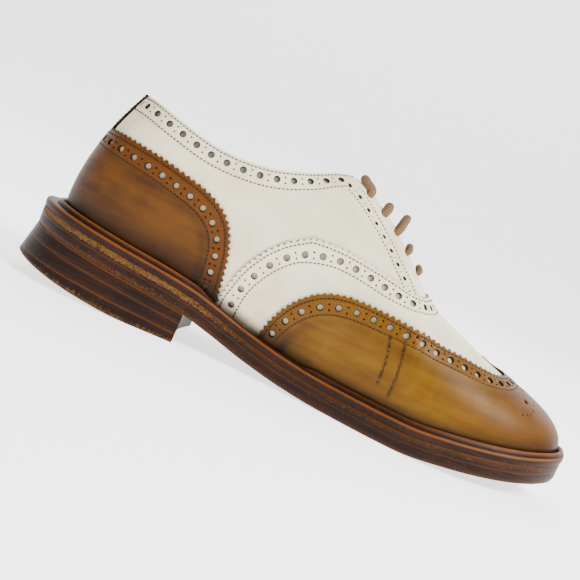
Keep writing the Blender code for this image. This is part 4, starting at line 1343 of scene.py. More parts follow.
@dataclass
class Upper:
    """The leather pieces of the upper: quarters, vamp, wing cap, counter, lining and tongue."""

    last: Last
    stitches: Stitches
    band: Broguing = field(default_factory=Broguing)
    front: Broguing = field(default_factory=lambda: Broguing(pitch=8.1 * MM, ease=0.16))
    facing_band: Broguing = field(default_factory=lambda: Broguing(
        hole=1.25 * MM, pitch=7.7 * MM, pin=0.36 * MM, pin_spread=0.9 * MM, hole_sides=12, pin_sides=6,
    ))
    leather: float = 0.0014
    overlay: float = 0.0012
    wall: float = 0.0022
    eyelet_radius: float = 0.0019
    collar_holes: float = 4.8 * MM
    collar_rows: tuple[float, float] = (1.4, 9.2)
    facing_rows: tuple[tuple[float, float], ...] = ((3.3, 4.0), (-3.1, 1.5))
    tongue_gap: float = 0.0007
    tongue_thickness: float = 0.0020
    tongue_half: float = 0.024
    eyelet_spots: tuple[Spot, ...] = table(
        Spot,
        (14.30, 0.965), (15.70, 0.963), (17.25, 0.962), (19.35, 0.962), (21.70, 0.962),
    )
    vamp_rim: tuple[Spot, ...] = table(
        Spot,
        (11.05, 0.0), (11.05, 0.095), (11.10, 0.175), (11.15, 0.26), (11.30, 0.34), (11.55, 0.41),
        (12.00, 0.465), (12.60, 0.50), (13.30, 0.53), (14.10, 0.557), (15.00, 0.58), (16.00, 0.60),
        (17.40, 0.624), (19.50, 0.65), (21.50, 0.68), (22.40, 0.725), (23.05, 0.80), (23.45, 0.90),
        (23.60, 1.00),
    )
    vamp_holes: tuple[Spot, ...] = table(
        Spot,
        (11.55, 0.0), (11.55, 0.10), (11.57, 0.18), (11.72, 0.26), (12.02, 0.34), (12.48, 0.40),
        (13.10, 0.44), (13.75, 0.478), (14.50, 0.51), (15.35, 0.53), (16.25, 0.545), (17.35, 0.558),
        (18.75, 0.572), (20.40, 0.592), (21.75, 0.622), (22.70, 0.672), (23.45, 0.745), (23.95, 0.885),
        (24.05, 1.00),
    )
    wing_rim: tuple[Spot, ...] = table(
        Spot,
        (12.95, 0.0), (13.10, 0.10), (13.40, 0.19), (13.90, 0.275), (14.70, 0.352), (15.85, 0.405),
        (17.00, 0.43), (18.60, 0.45), (20.70, 0.467), (22.80, 0.495), (24.70, 0.56), (26.05, 0.612),
        (27.30, 0.665), (28.05, 0.715), (28.50, 0.78), (28.90, 0.87), (29.00, 0.93), (28.80, 0.97),
        (28.40, 0.988), (27.90, 0.996), (27.40, 1.00),
    )
    wing_holes: tuple[Spot, ...] = table(
        Spot,
        (13.25, 0.0), (13.60, 0.13), (14.00, 0.21), (14.60, 0.28), (15.40, 0.33), (16.35, 0.362),
        (17.60, 0.385), (19.15, 0.40), (20.85, 0.414), (22.40, 0.432), (23.60, 0.457), (24.60, 0.488),
        (25.40, 0.512), (26.10, 0.531), (26.85, 0.552), (27.65, 0.582), (28.25, 0.63), (28.70, 0.685),
        (29.25, 0.80), (29.75, 0.91), (29.95, 1.00),
    )
    counter_rim: tuple[Spot, ...] = table(
        Spot,
        (11.00, 0.0), (10.95, 0.06), (10.88, 0.12), (10.70, 0.20), (10.35, 0.315), (9.60, 0.47),
        (8.95, 0.56), (8.30, 0.625), (7.50, 0.68), (6.60, 0.703), (5.50, 0.705), (4.40, 0.692),
        (3.20, 0.675), (1.80, 0.66), (0.95, 0.668), (0.75, 0.72), (0.75, 0.90), (0.82, 1.00),
    )
    counter_holes: tuple[Spot, ...] = table(
        Spot,
        (10.45, 0.0), (10.35, 0.115), (10.20, 0.195), (9.92, 0.295), (9.42, 0.40), (8.65, 0.497),
        (7.90, 0.560), (7.10, 0.593), (6.30, 0.606), (5.50, 0.606), (4.80, 0.600), (4.00, 0.592),
        (3.20, 0.586), (2.25, 0.582), (0.0, 0.580),
    )
    strap_line: tuple[Spot, ...] = table(Spot, (0.42, 0.68), (0.42, 0.85), (0.46, 0.99))
    facing_line: tuple[Spot, ...] = table(
        Spot,
        (13.15, 0.905), (13.95, 0.895), (14.75, 0.878), (15.55, 0.858), (16.50, 0.836), (17.45, 0.81),
        (18.65, 0.775), (19.95, 0.738), (21.10, 0.69), (21.60, 0.665),
    )
    rosette: tuple[tuple[Spot, float], ...] = (
        (Spot(30.40, 0.63), 1.25), (Spot(31.50, 0.655), 0.45), (Spot(31.05, 0.555), 0.50),
        (Spot(30.70, 0.49), 0.45), (Spot(30.35, 0.465), 0.45), (Spot(29.95, 0.445), 0.50),
        (Spot(32.60, 0.80), 0.50), (Spot(32.20, 0.94), 0.50), (Spot(31.30, 0.86), 1.25),
    )
    scratch_lines: tuple[Fold, ...] = (
        Fold(Spot(20.55, 0.15), Spot(20.20, 0.37), 0.8, 0.4),
        Fold(Spot(21.95, 0.11), Spot(21.75, 0.42), 1.0, 0.6),
    )

    def track(self, rows: tuple[Spot, ...], side: Side) -> Track:
        """A table's line, drawn on one side of the shoe."""
        return Track(self.last, mirrored(rows, side))

    def pinked(self, rims: dict[Side, Track], band: Broguing, plain: float = 0.0) -> list[np.ndarray]:
        """Both sides' pinked rims, each from the very foot to the very top."""
        made = []
        for side in Side:
            rim = rims[side].toothed(band.tooth_pitch, band.tooth_height, plain)
            rim[[0, -1], 1] = 0.0, 1.0
            made.append(rim)
        return made

    def overlay_outline(self, rims: dict[Side, Track], smooth_end: float) -> np.ndarray:
        """Outline of a vamp or wing cap, which runs over the crest and round the toe."""
        inner, outer = self.pinked(rims, self.front, smooth_end)
        low, high = inner[0, 0], inner[-1, 0]
        crest = there_and_back(level_line(high, TOE, int((TOE - high) / 0.17), 1.0), TURN)
        foot = level_line(outer[0, 0], low, int((outer[0, 0] - low) / 0.17), 0.0)
        ring = np.concatenate((inner[:-1], crest, outer[::-1][1:], foot[1:-1]))
        return ring[::-1].copy()

    def overlay_piece(self, name: str, rim_rows: tuple[Spot, ...], hole_rows: tuple[Spot, ...], level: int,
                      start: float, end: float, ends: float, smooth_end: float) -> Sheet:
        """A vamp or wing cap with its rim, holes and stitches.

        Args:
            name: its name.
            rim_rows: its rim, from the foot to the crest.
            hole_rows: the line of its holes, from the foot to the crest.
            level: which layer over the quarters it is.
            start: where its holes start along their line.
            end: how far before the crest they end.
            ends: how far before the crest the outer stitches end.
            smooth_end: how far before the crest the pinked teeth end.

        Returns:
            The piece, not built yet.
        """
        band = self.front
        rims = {side: self.track(rim_rows, side) for side in Side}
        holes, lines = [], []
        lift = level * self.last.layer
        for side, rim in rims.items():
            line = self.track(hole_rows, side)
            lines.append(line.places)
            holes += band.punch(line, start, end)
            self.stitches.along(rim.shifted(side.value * band.first_row).trimmed(0.0, ends), lift)
            self.stitches.along(line.shifted(side.value * band.row_inwards), lift)
        places = np.concatenate([rim.places for rim in rims.values()])
        outline = self.overlay_outline(rims, smooth_end)
        return Sheet(
            self.last, name, outline, lift, lift - self.overlay, holes, places, rows=band.rows,
            hole_line=np.concatenate(lines),
        )

    def counter(self) -> Sheet:
        """The heel counter with its strap up the back seam."""
        rims = {side: self.track(self.counter_rim, side) for side in Side}
        for side, rim in rims.items():
            rim.places[:, 0] -= TURN * (side is Side.OUTER)
        band, layer = self.band, self.last.layer
        inner, outer = self.pinked(rims, band)
        top = level_line(inner[-1, 0], outer[-1, 0], 6, 1.0)
        foot = level_line(outer[0, 0], inner[0, 0], 130, 0.0)
        ring = np.concatenate((inner[:-1], top, outer[::-1][1:], foot[1:-1]))
        holes, lines = [], []
        for side in Side:
            flat = self.track(self.counter_rim[:14] + (Spot(0.0, 0.65),), side)
            line = self.track(self.counter_holes, side)
            lines.append(line.places)
            holes += band.punch(line, 7.2 * MM, 3.5 * MM)
            self.stitches.along(flat.shifted(-side.value * band.first_row).trimmed(0.0, 5.0 * MM), layer)
            self.stitches.along(line.shifted(-side.value * band.row_inwards), layer)
            self.stitches.along(self.track(self.strap_line, side), layer)
        places = np.concatenate([rim.places for rim in rims.values()])
        return Sheet(
            self.last, "heel_counter_leather", ring, layer, layer - self.overlay, from_back(holes), places,
            rows=band.rows, hole_line=np.concatenate(lines),
        )

    def whole_ring(self) -> np.ndarray:
        """Outline of the quarters, once round the shoe and joined at the toe."""
        foot = level_line(-TOE, TOE, 424, 0.0)
        side = np.stack((np.full(60, TOE), np.linspace(0.0, 1.0, 60)), axis=-1)
        top = there_and_back(level_line(TOE, 0.0, 213, 1.0), 0.0)
        back = np.stack((np.full(60, -TOE), np.linspace(1.0, 0.0, 60)), axis=-1)
        return np.concatenate((foot[:-1], side[:-1], top[:-1], back[:-1]))

    def round_hole(self, side: Side, spot: Spot, radius: float, sides: int) -> np.ndarray:
        """A round hole at a spot of one side."""
        ends = (Spot(spot.station - 0.4, spot.v), Spot(spot.station + 0.4, spot.v))
        line = self.track(ends, side)
        return line.ring(line.length / 2.0, 0.0, radius, sides)

    def quarter_holes(self) -> list[np.ndarray]:
        """Holes of the collar band and of the facings, and the eyelets."""
        holes = []
        for side in Side:
            edge = self.track(table(Spot, (0.0, 1.0), (6.5, 1.0), (CORNER, 1.0)), side)
            holes += self.band.punch(edge.shifted(side.value * self.collar_holes), 11.2 * MM, 7.0 * MM)
            for distance, ends in zip(self.collar_rows, (0.5, 3.0)):
                row = edge.shifted(side.value * (distance * MM))
                self.stitches.along(row.trimmed(4.0 * MM, ends * MM), 0.0)
            facing = self.track(self.facing_line, side)
            holes += self.facing_band.punch(facing, 0.0, 3.0 * MM, 0.9)
            for distance, ends in self.facing_rows:
                self.stitches.along(facing.shifted(distance * MM).trimmed(ends * MM, 0.0), 0.0)
            holes += [self.round_hole(side, spot, self.eyelet_radius, 16) for spot in self.eyelet_spots]
        return from_back(holes)

    def eyelets(self) -> list[np.ndarray]:
        """Eyelet holes alone, for the lining."""
        spots = [(side, spot) for side in Side for spot in self.eyelet_spots]
        return from_back([self.round_hole(side, spot, self.eyelet_radius, 12) for side, spot in spots])

    def medallion(self) -> list[np.ndarray]:
        """A small traditional rosette of punched holes on the toe."""
        return [
            self.round_hole(side, spot, radius * MM, 14 if radius > 1.0 else 8)
            for side in Side for spot, radius in self.rosette
        ]

    def edge_marks(self) -> np.ndarray:
        """Places of the collar's and facings' edge."""
        half = level_line(0.0, THROAT, 200, 1.0)
        return np.concatenate((half, half * (-1.0, 1.0)))

    def tongue_tip(self, lift: float) -> np.ndarray:
        """Middle of the tongue's tip, which runs a little past the facings."""
        spots = []
        for station in (CORNER, CORNER + 1.0):
            pair = self.last.skin(np.array([station, TURN - station]), np.ones(2), np.full(2, lift))
            spots.append(pair.mean(axis=0))
        return spots[0] + (spots[0] - spots[1]) * 0.6

    def tongue_row(self, station: float, lift: float, tip: bool) -> np.ndarray:
        """Points across one face of the tongue, at a station."""
        halves = []
        for side in Side:
            w = np.full(200, side.place(station))
            v = np.linspace(1.0, 0.55, 200)
            spots = np.interp(np.linspace(0.0, self.tongue_half, 13), running(self.last.wall(w, v)), v)
            halves.append(self.last.skin(w[:13], spots, np.full(13, lift)))
        middle = self.tongue_tip(lift) if tip else (halves[0][0] + halves[1][0]) / 2.0
        joins = [[half[0] * 0.5 + middle * 0.5] for half in halves]
        return np.concatenate((halves[0][:0:-1], joins[0], [middle], joins[1], halves[1][1:]))

    def tongue(self, material: bpy.types.Material) -> bpy.types.Object:
        """The tongue, a soft sheet under the facings, with rounded edges."""
        stations = np.concatenate(([12.4], np.arange(13.0, 24.01, 0.25)))
        outside = -(self.wall + self.tongue_gap)
        top, low = (
            np.array([self.tongue_row(station, lift, i == 0) for i, station in enumerate(stations)])
            for lift in (outside, outside - self.tongue_thickness)
        )
        rim = 0.0006 * self.last.normal(np.array([20.0]), np.array([1.0]))[0]
        top[:, [0, -1]] -= rim
        top[0] -= rim
        count, width = top.shape[:2]
        faces = []
        for i in range(count - 1):
            for j in range(width - 1):
                a = i * width + j
                faces.append((a, a + width, a + width + 1, a + 1))
                faces.append(tuple(k + count * width for k in (a + 1, a + width + 1, a + width, a)))
        ring = list(range(width)) + [i * width + width - 1 for i in range(1, count)]
        ring += [(count - 1) * width + j for j in range(width - 2, -1, -1)]
        ring += [i * width for i in range(count - 2, 0, -1)]
        for a, b in zip(ring, ring[1:] + ring[:1]):
            faces.append((a, b, b + count * width, a + count * width))
        verts = np.concatenate((top.reshape(-1, 3), low.reshape(-1, 3)))
        mesh = build_mesh("tongue_leather", verts, faces, material)
        keep_value(mesh, "rim", np.full(len(verts), FAR))
        keep_value(mesh, "foot", np.full(len(verts), 40.0))
        return new_object("tongue_leather", mesh)

    def build(self) -> None:
        """Build and dress every piece of the upper."""
        rows = self.band.rows
        cream = CreamLeather()
        vamp = self.overlay_piece(
            "vamp_leather", self.vamp_rim, self.vamp_holes, level=1,
            start=9.0 * MM, end=4.2 * MM, ends=0.2 * MM, smooth_end=3.0 * MM,
        )
        wing = self.overlay_piece(
            "wing_cap_leather", self.wing_rim, self.wing_holes, level=2,
            start=10.5 * MM, end=4.2 * MM, ends=26.0 * MM, smooth_end=23.0 * MM,
        )
        wing.skive = 1.0 * MM
        wing.holes += self.medallion()
        counter = self.counter()
        quarters = Sheet(
            self.last, "quarters", self.whole_ring(), 0.0, -self.leather, self.quarter_holes(),
            self.edge_marks(), rows=self.collar_rows, covers=[vamp.outline, counter.outline],
            plain_edge=True,
        )
        vamp.covers = [wing.outline]
        ride(quarters.build(cream.material("cream_quarters", self.collar_rows)), "cream_leather", "upper")
        lining = Sheet(
            self.last, "lining", self.whole_ring(), -self.leather - 0.0001, -self.wall, self.eyelets(),
            self.edge_marks(), spacing=(0.3, 0.028), plain_edge=True,
        )
        ride(lining.build(Lining().material("lining_leather")), "insole_leather")
        ride(vamp.build(cream.material("cream_vamp", rows[:1])), "cream_leather", "vamp")
        scratches = tuple(self.last.wall(*line.places(60, 0.2)) for line in self.scratch_lines)
        tan = TanLeather().material("tan_wing", rows[:1])
        ride(wing.build(tan, scratches), "tan_leather", "wing_cap")
        # On the counter the burnish and painted shade reach much further up from the welt.
        tan = TanLeather(
            centre="#543001", warm="#381C02", band="#532C03", burnt_reach=19.0, back_end=-0.9,
            toe_start=0.9, toe_end=1.0,
        )
        ride(counter.build(tan.material("tan_counter", rows[:1])), "tan_leather", "heel_counter")
        ride(self.tongue(cream.material("cream_tongue")), "cream_leather", "tongue")
        ride(self.stitches.build("stitches", Thread().material("thread")), "tan_leather")

class Level(NamedTuple):
    """One level of a sole piece's side: inset, share of the way down, how rubbed and how worn."""

    inset: float
    down: float
    rub: float
    wear: float = 0.0


@dataclass
class Bottom:
    """Welt, midsole, outsole, heel and insole."""

    last: Last
    welt: float = 0.0034
    rib_rise: float = 0.0022
    rib_width: float = 0.0032
    trim: float = 0.0006
    heel_end: float = 0.0900
    heel_flare: float = 0.0050
    heel_side_flare: float = 0.0010
    breast_hollow: float = 0.0032
    heel_wear: float = 0.0085
    wear_end: float = 0.0640
    insole: float = 0.0030
    insole_inset: float = 0.0028
    insole_dish: float = 0.0006
    steps: int = 210
    across: int = 10

    def placed(self, x: Any, y: Any, z: Any) -> np.ndarray:
        """Points in the part's frame."""
        return np.stack((np.asarray(x) - self.last.origin_along, y, z), axis=-1)

    def block(self, name: str, levels: list[np.ndarray], marks: tuple[Level, ...],
              finish: bpy.types.Material, under: bpy.types.Material | None = None) -> bpy.types.Object:
        """A solid between levels of rows that run across the shoe, top first.

        Args:
            name: its name.
            levels: points of each level, by row, by column.
            marks: how rubbed and worn the side is at each level.
            finish: its finish.
            under: the finish of its top and underside, where it differs.

        Returns:
            The piece.
        """
        rows, across = levels[0].shape[:2]
        size = rows * across
        rim = [i * across for i in range(rows)] + [(rows - 1) * across + j for j in range(1, across)]
        rim += [i * across + across - 1 for i in range(rows - 2, -1, -1)]
        rim += [j for j in range(across - 2, 0, -1)]
        first, final = levels[0].reshape(-1, 3), levels[-1].reshape(-1, 3)
        verts = np.concatenate([first, final] + [level.reshape(-1, 3)[rim] for level in levels])
        faces = []
        for base, flip in ((0, 1), (size, -1)):
            for i in range(rows - 1):
                for j in range(across - 1):
                    a = base + i * across + j
                    faces.append((a, a + across, a + across + 1, a + 1)[::flip])
        caps = len(faces)
        count = len(rim)
        for level in range(len(levels) - 1):
            top = 2 * size + level * count
            for i in range(count):
                j = (i + 1) % count
                faces.append((top + i, top + count + i, top + count + j, top + j))
        mesh = build_mesh(name, verts, faces, finish, 50.0)
        if under is not None:
            mesh.materials.append(under)
            for polygon in mesh.polygons[:caps]:
                polygon.material_index = 1
        for value, column in (("edge", "rub"), ("worn", "wear")):
            side = [np.full(count, getattr(mark, column)) for mark in marks]
            keep_value(mesh, value, np.concatenate([np.zeros(2 * size)] + side))
        keep_value(mesh, "side", np.concatenate((np.zeros(2 * size), np.ones(count * len(levels)))))
        return new_object(name, mesh)

    def sole_level(self, inset: float, height: Any) -> np.ndarray:
        """Rows of a level of the sole, at an inset from the welt's edge."""
        share = np.linspace(0.0, 1.0, self.steps + 1)
        inner = self.last.edge_point(Side.INNER, share, inset)
        outer = self.last.edge_point(Side.OUTER, share, inset)
        t = np.linspace(0.0, 1.0, self.across + 1)[None, :, None]
        plan = inner[:, None] * (1.0 - t) + outer[:, None] * t
        return self.placed(plan[..., 0], plan[..., 1], height(plan[..., 0]))

    def sole(self, name: str, top: Any, low: Any, profile: tuple[Level, ...], finish: bpy.types.Material,
             under: bpy.types.Material | None = None) -> bpy.types.Object:
        """A layer of the sole with a shaped side."""
        levels = []
        for row in profile:
            def height(x: Any, down: float = row.down) -> Any:
                """Height of this level."""
                return top(x) + (low(x) - top(x)) * down

            levels.append(self.sole_level(self.trim + row.inset * MM, height))
        return self.block(name, levels, profile, finish, under)

    def heel_level(self, height: Any, inset: float) -> np.ndarray:
        """Rows of one level of the heel, flared to the back and hollow at the breast."""
        last, count = self.last, 90
        ends = []
        step = np.linspace(0.0, 1.0, count + 1)
        for side in Side:
            curve = last.edges[side]
            end = float(np.interp(self.heel_end, curve.points[:, 0], curve.run) / curve.length)
            share = end * (0.35 * step + 0.65 * step**1.6)
            out = last.outward(side, share)
            x = curve.at(share)[:, 0]
            drop = 1.0 - height(x) / last.underside(x)
            flare = drop * (self.heel_flare * np.maximum(-out[:, 0], 0.0) + self.heel_side_flare)
            ends.append(last.edge_point(side, share, self.trim - flare + inset))
        t = np.linspace(0.0, 1.0, self.across + 3)[None, :, None]
        plan = ends[0][:, None] * (1.0 - t) + ends[1][:, None] * t
        hollow = self.breast_hollow * (1.0 - (2.0 * t[..., 0] - 1.0) ** 2) * step[:, None] ** 5
        x = plan[..., 0] - hollow - inset * step[:, None] ** 5
        return self.placed(x, plan[..., 1], height(x))

    def build_heel(self, finish: bpy.types.Material, under: bpy.types.Material) -> None:
        """The stacked heel: two lifts and the top piece."""
        last = self.last

        def seam(breast: float, back: float) -> Any:
            """Height of a seam, as shares of the seat at breast and back."""
            change = breast - back
            return lambda x: last.underside(x) * (back + change * np.clip(x / self.heel_end, 0.0, 1.0))

        def worn(x: Any) -> Any:
            """Height of the underside, worn off towards the back."""
            part = np.maximum((self.wear_end - x) / self.wear_end, 0.0)
            return self.heel_wear * part**1.5

        seams = (seam(0.667, 0.750), seam(0.310, 0.440))
        pieces = (
            ("heel_lift_upper", last.underside, seams[0], 0.9),
            ("heel_lift_lower", seams[0], seams[1], 0.35),
            ("heel_top_piece", seams[1], worn, 0.6),
        )
        for name, above, below, rub in pieces:
            foot = name == "heel_top_piece"
            rows = table(
                Level,
                (0.0, 0.0, rub), (0.03, 0.045, rub, 0.1), (0.0, 0.09, 0.05, 0.1),
                (0.0, 0.5, 0.0, 0.10 + 0.15 * foot), (0.0, 0.80, 0.05, 0.2 + 0.75 * foot),
                (0.02 + 0.1 * foot, 0.94, 0.2, 0.3 + 0.8 * foot), (0.05 + 0.4 * foot, 1.0, 0.3, 0.6),
            )
            levels = []
            for row in rows:
                def height(x: Any, down: float = row.down, above: Any = above, below: Any = below) -> Any:
                    """Height of this level."""
                    return above(x) * (1.0 - down) + below(x) * down

                levels.append(self.heel_level(height, row.inset * MM))
            piece = self.block(name + "_leather", levels, rows, finish, under)
            ride(piece, "sole_leather", name)

    def rib(self, side: Side, share: np.ndarray) -> np.ndarray:
        """Height of the storm rib, which is pared flat along the inner waist."""
        if side is Side.OUTER:
            return np.full(len(share), self.rib_rise)
        pared = Ramp((0.00, 0.32, 0.36, 0.50, 0.53, 1.00), (1.0, 1.0, 0.15, 0.15, 1.0, 1.0))
        return self.rib_rise * pared(share)

    def bulge(self, side: Side, share: np.ndarray) -> np.ndarray:
        """How far the leather stands out over its foot, up to the rib's height."""
        last = self.last
        foots = last.columns["foot"]
        stations = np.linspace(0.0, TOE, 181)
        foot = last.foot(side, foots(stations))
        out = last.outward(side, foots(stations))
        far = np.zeros(len(stations))
        for v in np.linspace(0.0, 0.2, 21):
            p = last.wall(side.place(stations), np.full(len(stations), v))
            low = p[:, 2] < foot[:, 2] + self.welt + self.rib_rise
            far = np.maximum(far, np.where(low, ((p[:, :2] - foot[:, :2]) * out).sum(axis=1), 0.0))
        return np.interp(share, foots(stations), far)

    def build_welt(self, finish: bpy.types.Material) -> None:
        """The storm welt, with its rib, its two grooves and its rounded edge."""
        last = self.last
        share = np.linspace(0.0, 1.0, 261)
        rings = []
        for side in Side:
            along = last.edges[side].at(share)[:, 0]
            wall = last.shelf(along) - self.bulge(side, share) - 0.0009
            rib = self.rib(side, share)
            low = wall - self.rib_width
            rise = self.welt
            profile = (
                (0.20 * MM, -last.gap, 0.0), (0.0, 0.30 * MM, 0.0), (0.0, rise * 0.50, 0.05),
                (0.12 * MM, rise * 0.68, 0.35), (0.45 * MM, rise * 0.84, 1.0),
                (0.95 * MM, rise * 0.96, 0.75), (1.7 * MM, rise, 0.15),
                (low * 0.62 + 0.4 * MM, rise, 0.05), (low * 0.85, rise * 0.97, 0.0),
                (low + 0.10 * self.rib_width, rise * 0.94, 0.0),
                (low + 0.22 * self.rib_width, rise + 0.42 * rib, 0.15),
                (low + 0.38 * self.rib_width, rise + 0.86 * rib, 0.75),
                (low + 0.58 * self.rib_width, rise + rib, 0.95),
                (low + 0.80 * self.rib_width, rise + 0.90 * rib, 0.5),
                (wall - 0.0002, rise + 0.60 * rib, 0.1), (wall, rise * 0.8, 0.0), (wall, 0.0, 0.0),
            )
            columns = []
            for inset, height, _ in profile:
                inset = inset + 0.0 * along
                plan = last.edge_point(side, share, inset)
                z = last.floor(plan[:, 0]) + last.gap + height
                columns.append(self.placed(plan[:, 0], plan[:, 1], z))
            rings.append(np.stack(columns, axis=1))
        walk = np.concatenate((rings[0], rings[1][-2:0:-1]))
        count, size = walk.shape[:2]
        faces = []
        for i in range(count):
            a, b = i * size, ((i + 1) % count) * size
            for j in range(size):
                k = (j + 1) % size
                faces.append((a + j, b + j, b + k, a + k))
        mesh = build_mesh("welt_leather", walk.reshape(-1, 3), faces, finish)
        shares = np.concatenate((share, share[-2:0:-1]))
        inner = np.arange(count) <= len(share)
        dull = 1.0 - 0.75 * (fade(shares, 0.27, 0.36) - fade(shares, 0.60, 0.85)) * np.where(inner, 1.0, 0.5)
        on_rib = np.arange(size) >= 9
        rub = np.array([row[2] for row in profile])[None, :] * np.where(on_rib[None, :], dull[:, None], 1.0)
        keep_value(mesh, "edge", rub.ravel())
        keep_value(mesh, "side", np.ones(count * size))
        keep_value(mesh, "worn", np.tile([0.1 * (row[2] > 0.3) for row in profile], count))
        ride(new_object("welt_leather", mesh), "welt_leather", "welt")

    def build_insole(self, finish: bpy.types.Material) -> None:
        """The insole, slightly dished along its middle."""
        last = self.last
        share = np.linspace(0.0, 1.0, self.steps + 1)
        feet = [last.foot(side, share, self.insole_inset) for side in Side]
        t = np.linspace(0.0, 1.0, 13)[None, :, None]
        plan = feet[0][:, None, :2] * (1.0 - t) + feet[1][:, None, :2] * t
        levels = []
        for rise in (self.insole, 0.0):
            z = last.floor(plan[..., 0]) + last.gap + rise
            dish = self.insole_dish * np.sin(np.pi * t[..., 0]) * (rise > 0.0)
            levels.append(self.placed(plan[..., 0], plan[..., 1], z - dish))
        flat = (Level(0.0, 0.0, 0.0), Level(0.0, 1.0, 0.0))
        ride(self.block("insole_board", levels, flat, finish), "insole_leather", "insole")

    def build(self) -> None:
        """Build and dress every piece under the upper."""
        last = self.last
        edge = StackedLeather().material("sole_edge")
        heel = StackedLeather(dark="#120704", mid="#261006", wear=0.45).material("heel_stack")
        welt = StackedLeather(
            dark="#140806", mid="#2A120B", rubbed="#7C481E", worn="#8A5E2C", wear=0.3, gloss=0.34,
        ).material("welt_edge")
        tread = PlainLeather("#50341C", "#2C1B10", 700.0, 0.75).material("tread_leather")
        self.build_welt(welt)
        upper_side = table(
            Level,
            (0.30, 0.0, 0.4, 0.5), (0.0, 0.08, 0.6, 1.0), (-0.18, 0.22, 0.3, 1.3), (-0.25, 0.55, 0.1, 1.3),
            (-0.25, 0.72, 0.0, 0.8), (-0.22, 0.90, 0.0, 0.1), (-0.16, 0.96, 0.2, 0.1),
            (-0.14, 1.0, 0.35, 0.1),
        )

        def seam(x: Any) -> Any:
            """Height between midsole and outsole."""
            return last.underside(x) + last.outsole

        ride(self.sole("midsole_leather", last.floor, seam, upper_side, edge), "sole_leather", "midsole")
        lower_side = table(
            Level,
            (-0.14, 0.0, 0.3, 0.1), (-0.18, 0.05, 0.1, 0.1), (-0.20, 0.12, 0.0, 0.25),
            (-0.20, 0.45, 0.0, 0.35), (-0.12, 0.72, 0.1, 0.60), (0.08, 0.88, 0.3, 0.6),
            (0.35, 0.97, 0.4, 0.4), (0.9, 1.0, 0.3, 0.2),
        )
        outsole = self.sole("outsole_leather", seam, last.underside, lower_side, edge, tread)
        ride(outsole, "sole_leather", "outsole")
        self.build_heel(heel, tread)
        self.build_insole(PlainLeather().material("insole_leather"))


class Bar(NamedTuple):
    """One bar of lace: how high it stands, and how far its middle leans down the instep."""

    rise: float
    lean: float
    radius: float


@dataclass
class Lacing:
    """The lace, run straight across through the eyelets."""

    last: Last
    spots: tuple[Spot, ...]
    bars: tuple[Bar, ...] = table(
        Bar,
        (-1.0, -7.0, 2.10), (0.3, -0.6, 2.20), (5.0, -2.6, 2.00), (0.3, -1.5, 1.60), (0.0, -1.7, 1.50),
    )
    sides: int = 14

    def tube(self, name: str, points: np.ndarray, radius: float,
             material: bpy.types.Material) -> bpy.types.Object:
        """A round tube with rounded ends along a path."""
        curve = Curve(points)
        log.info("%s: %.1f mm of lace", name, curve.length / MM)
        count = max(int(curve.length / (0.55 * MM)), 12)
        share = np.linspace(0.0, 1.0, count + 1)
        path = curve.at(share)
        tangent = curve.tangent(share, 0.012)
        normal = unit(np.cross(tangent, np.array([1.0, 0.0, 0.0])))
        side = np.cross(normal, tangent)
        angle = 2.0 * math.pi * np.arange(self.sides) / self.sides
        ends = (1.0 - np.minimum(share, 1.0 - share) / 0.02).clip(0.0, 1.0)
        width = radius * np.sqrt(np.clip(1.0 - ends**2, 0.05, 1.0))
        ring = np.cos(angle)[None, :, None] * normal[:, None] + np.sin(angle)[None, :, None] * side[:, None]
        verts = (path[:, None] + width[:, None, None] * ring).reshape(-1, 3)
        faces = []
        for i in range(count):
            for k in range(self.sides):
                a, b = i * self.sides + k, i * self.sides + (k + 1) % self.sides
                faces.append((a, a + self.sides, b + self.sides, b))
        faces.append(tuple(range(self.sides)))
        faces.append(tuple(count * self.sides + k for k in range(self.sides - 1, -1, -1)))
        mesh = build_mesh(name, verts, faces, material)
        run = np.repeat(share * curve.length / MM, self.sides)
        keep_map(mesh, np.stack((run, np.tile(np.arange(self.sides) / self.sides, count + 1)), axis=-1))
        return new_object(name, mesh)

    def build(self) -> None:
        """Build the bars, each from eyelet to eyelet."""
        cotton = Cotton().material("lace_cotton")
        for i, (spot, bar) in enumerate(zip(self.spots, self.bars)):
            radius = bar.radius * MM
            halves = []
            for side in Side:
                v = spot.v + (1.0 - spot.v) * np.array([0.0, 0.0, 0.10, 0.35, 0.68, 1.0])
                lift = np.array([-0.0020, -0.0002, 0.0, 0.0003, 0.0003, 0.0005])
                lift += radius * np.array([0.0, 0.0, 0.75, 1.0, 1.0, 1.0])
                halves.append(self.last.skin(np.full(len(v), side.place(spot.station)), v, lift))
            forward = self.last.crest.tangent(self.last.columns["top"](spot.station) - 1.0)
            forward = np.array([forward[0], 0.0, forward[1]])
            up = np.array([-forward[2], 0.0, forward[0]])
            pull = (bar.rise * up + bar.lean * forward) * MM
            for half in halves:
                half[3:] += pull * np.array([[0.25], [0.65], [0.92]])
            middle = (halves[0][-1] + halves[1][-1]) / 2.0 + 0.08 * pull
            path = np.concatenate((halves[0], [middle], halves[1][::-1]))
            piece = self.tube(f"lace_cord_{i + 1}", path, radius, cotton)
            ride(piece, "lace_cotton", f"lace_bar_{i + 1}")


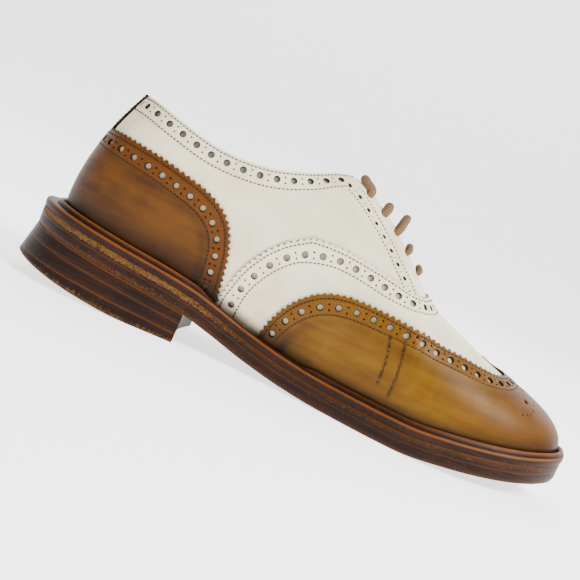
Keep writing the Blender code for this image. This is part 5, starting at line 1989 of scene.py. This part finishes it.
@dataclass
class Studio:
    """Pale floor, soft lights and the camera at the photograph's angle."""

    eye: tuple[float, float, float] = (0.0564, -0.500, 0.090)
    pitch: float = 5.2
    roll: float = 24.1
    lens: float = 60.77
    sky: float = 0.40
    lights: tuple[tuple[str, tuple[float, float, float], float, float], ...] = (
        ("key", (0.85, -0.62, 0.95), 0.45, 36.0),
        ("fill", (-0.75, -1.00, 0.50), 1.0, 2.0),
        ("back", (0.20, 0.95, 0.95), 1.0, 8.0),
    )

    def camera(self) -> None:
        """The camera, rolled as the photograph is."""
        data = bpy.data.cameras.new("camera")
        data.lens = self.lens
        data.sensor_width = 36.0
        data.clip_start = 0.01
        thing = new_object("camera", data)
        pitch, roll = math.radians(self.pitch), math.radians(self.roll)
        right = Vector((1.0, 0.0, 0.0))
        up = Vector((0.0, math.sin(pitch), math.cos(pitch)))
        image_x = math.cos(roll) * right + math.sin(roll) * up
        image_y = -math.sin(roll) * right + math.cos(roll) * up
        back = image_x.cross(image_y)
        turn = Matrix((image_x, image_y, back)).transposed().to_4x4()
        thing.matrix_world = Matrix.Translation(Vector(self.eye)) @ turn
        bpy.context.scene.camera = thing

    def light(self, name: str, place: tuple[float, float, float], size: float, power: float) -> None:
        """A soft square light aimed at the shoe."""
        data = bpy.data.lights.new(name, "AREA")
        data.size = size
        data.energy = power
        thing = new_object(name, data)
        thing.location = place
        aim = Vector((0.06, 0.0, 0.04)) - Vector(place)
        thing.rotation_euler = aim.to_track_quat("-Z", "Y").to_euler()

    def floor(self) -> None:
        """A plain pale floor that bends up into a backdrop."""
        angles = np.linspace(0.1, math.pi / 2, 10)
        profile = [(-6.0, 0.0), (1.6, 0.0)]
        profile += [(1.6 + 1.2 * math.sin(a), 1.2 - 1.2 * math.cos(a)) for a in angles] + [(2.8, 6.0)]
        verts = [(x, y, z) for y, z in profile for x in (-8.0, 8.0)]
        faces = [(2 * i, 2 * i + 1, 2 * i + 3, 2 * i + 2) for i in range(len(profile) - 1)]
        g = Graph("floor_paper", Specular_IOR_Level=0.1, Emission_Strength=1.8)
        color = g.mix(g.noise(3.0, 2.0) * 0.04, (0.90, 0.90, 0.90, 1.0), (0.80, 0.80, 0.80, 1.0))
        mesh = build_mesh("floor", np.array(verts), faces, g.finish(color, 0.8, g.noise(40.0) * 0.1, 0.0001))
        new_object("floor", mesh)

    def build(self) -> None:
        """Set the studio up."""
        self.floor()
        self.camera()
        for lamp in self.lights:
            self.light(*lamp)
        world = bpy.data.worlds.new("studio")
        world.use_nodes = True
        sky = world.node_tree.nodes["Background"].inputs
        sky["Color"].default_value = (1.0, 1.0, 1.0, 1.0)
        sky["Strength"].default_value = self.sky
        bpy.context.scene.world = world


def main() -> None:
    """Build the shoe's looks around its part."""
    logging.basicConfig(level=logging.INFO, format="%(name)s: %(message)s")
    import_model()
    last = Last()
    Studio().build()
    upper = Upper(last, Stitches())
    upper.build()
    Bottom(last).build()
    Lacing(last, upper.eyelet_spots).build()


if __name__ == "__main__":
    main()
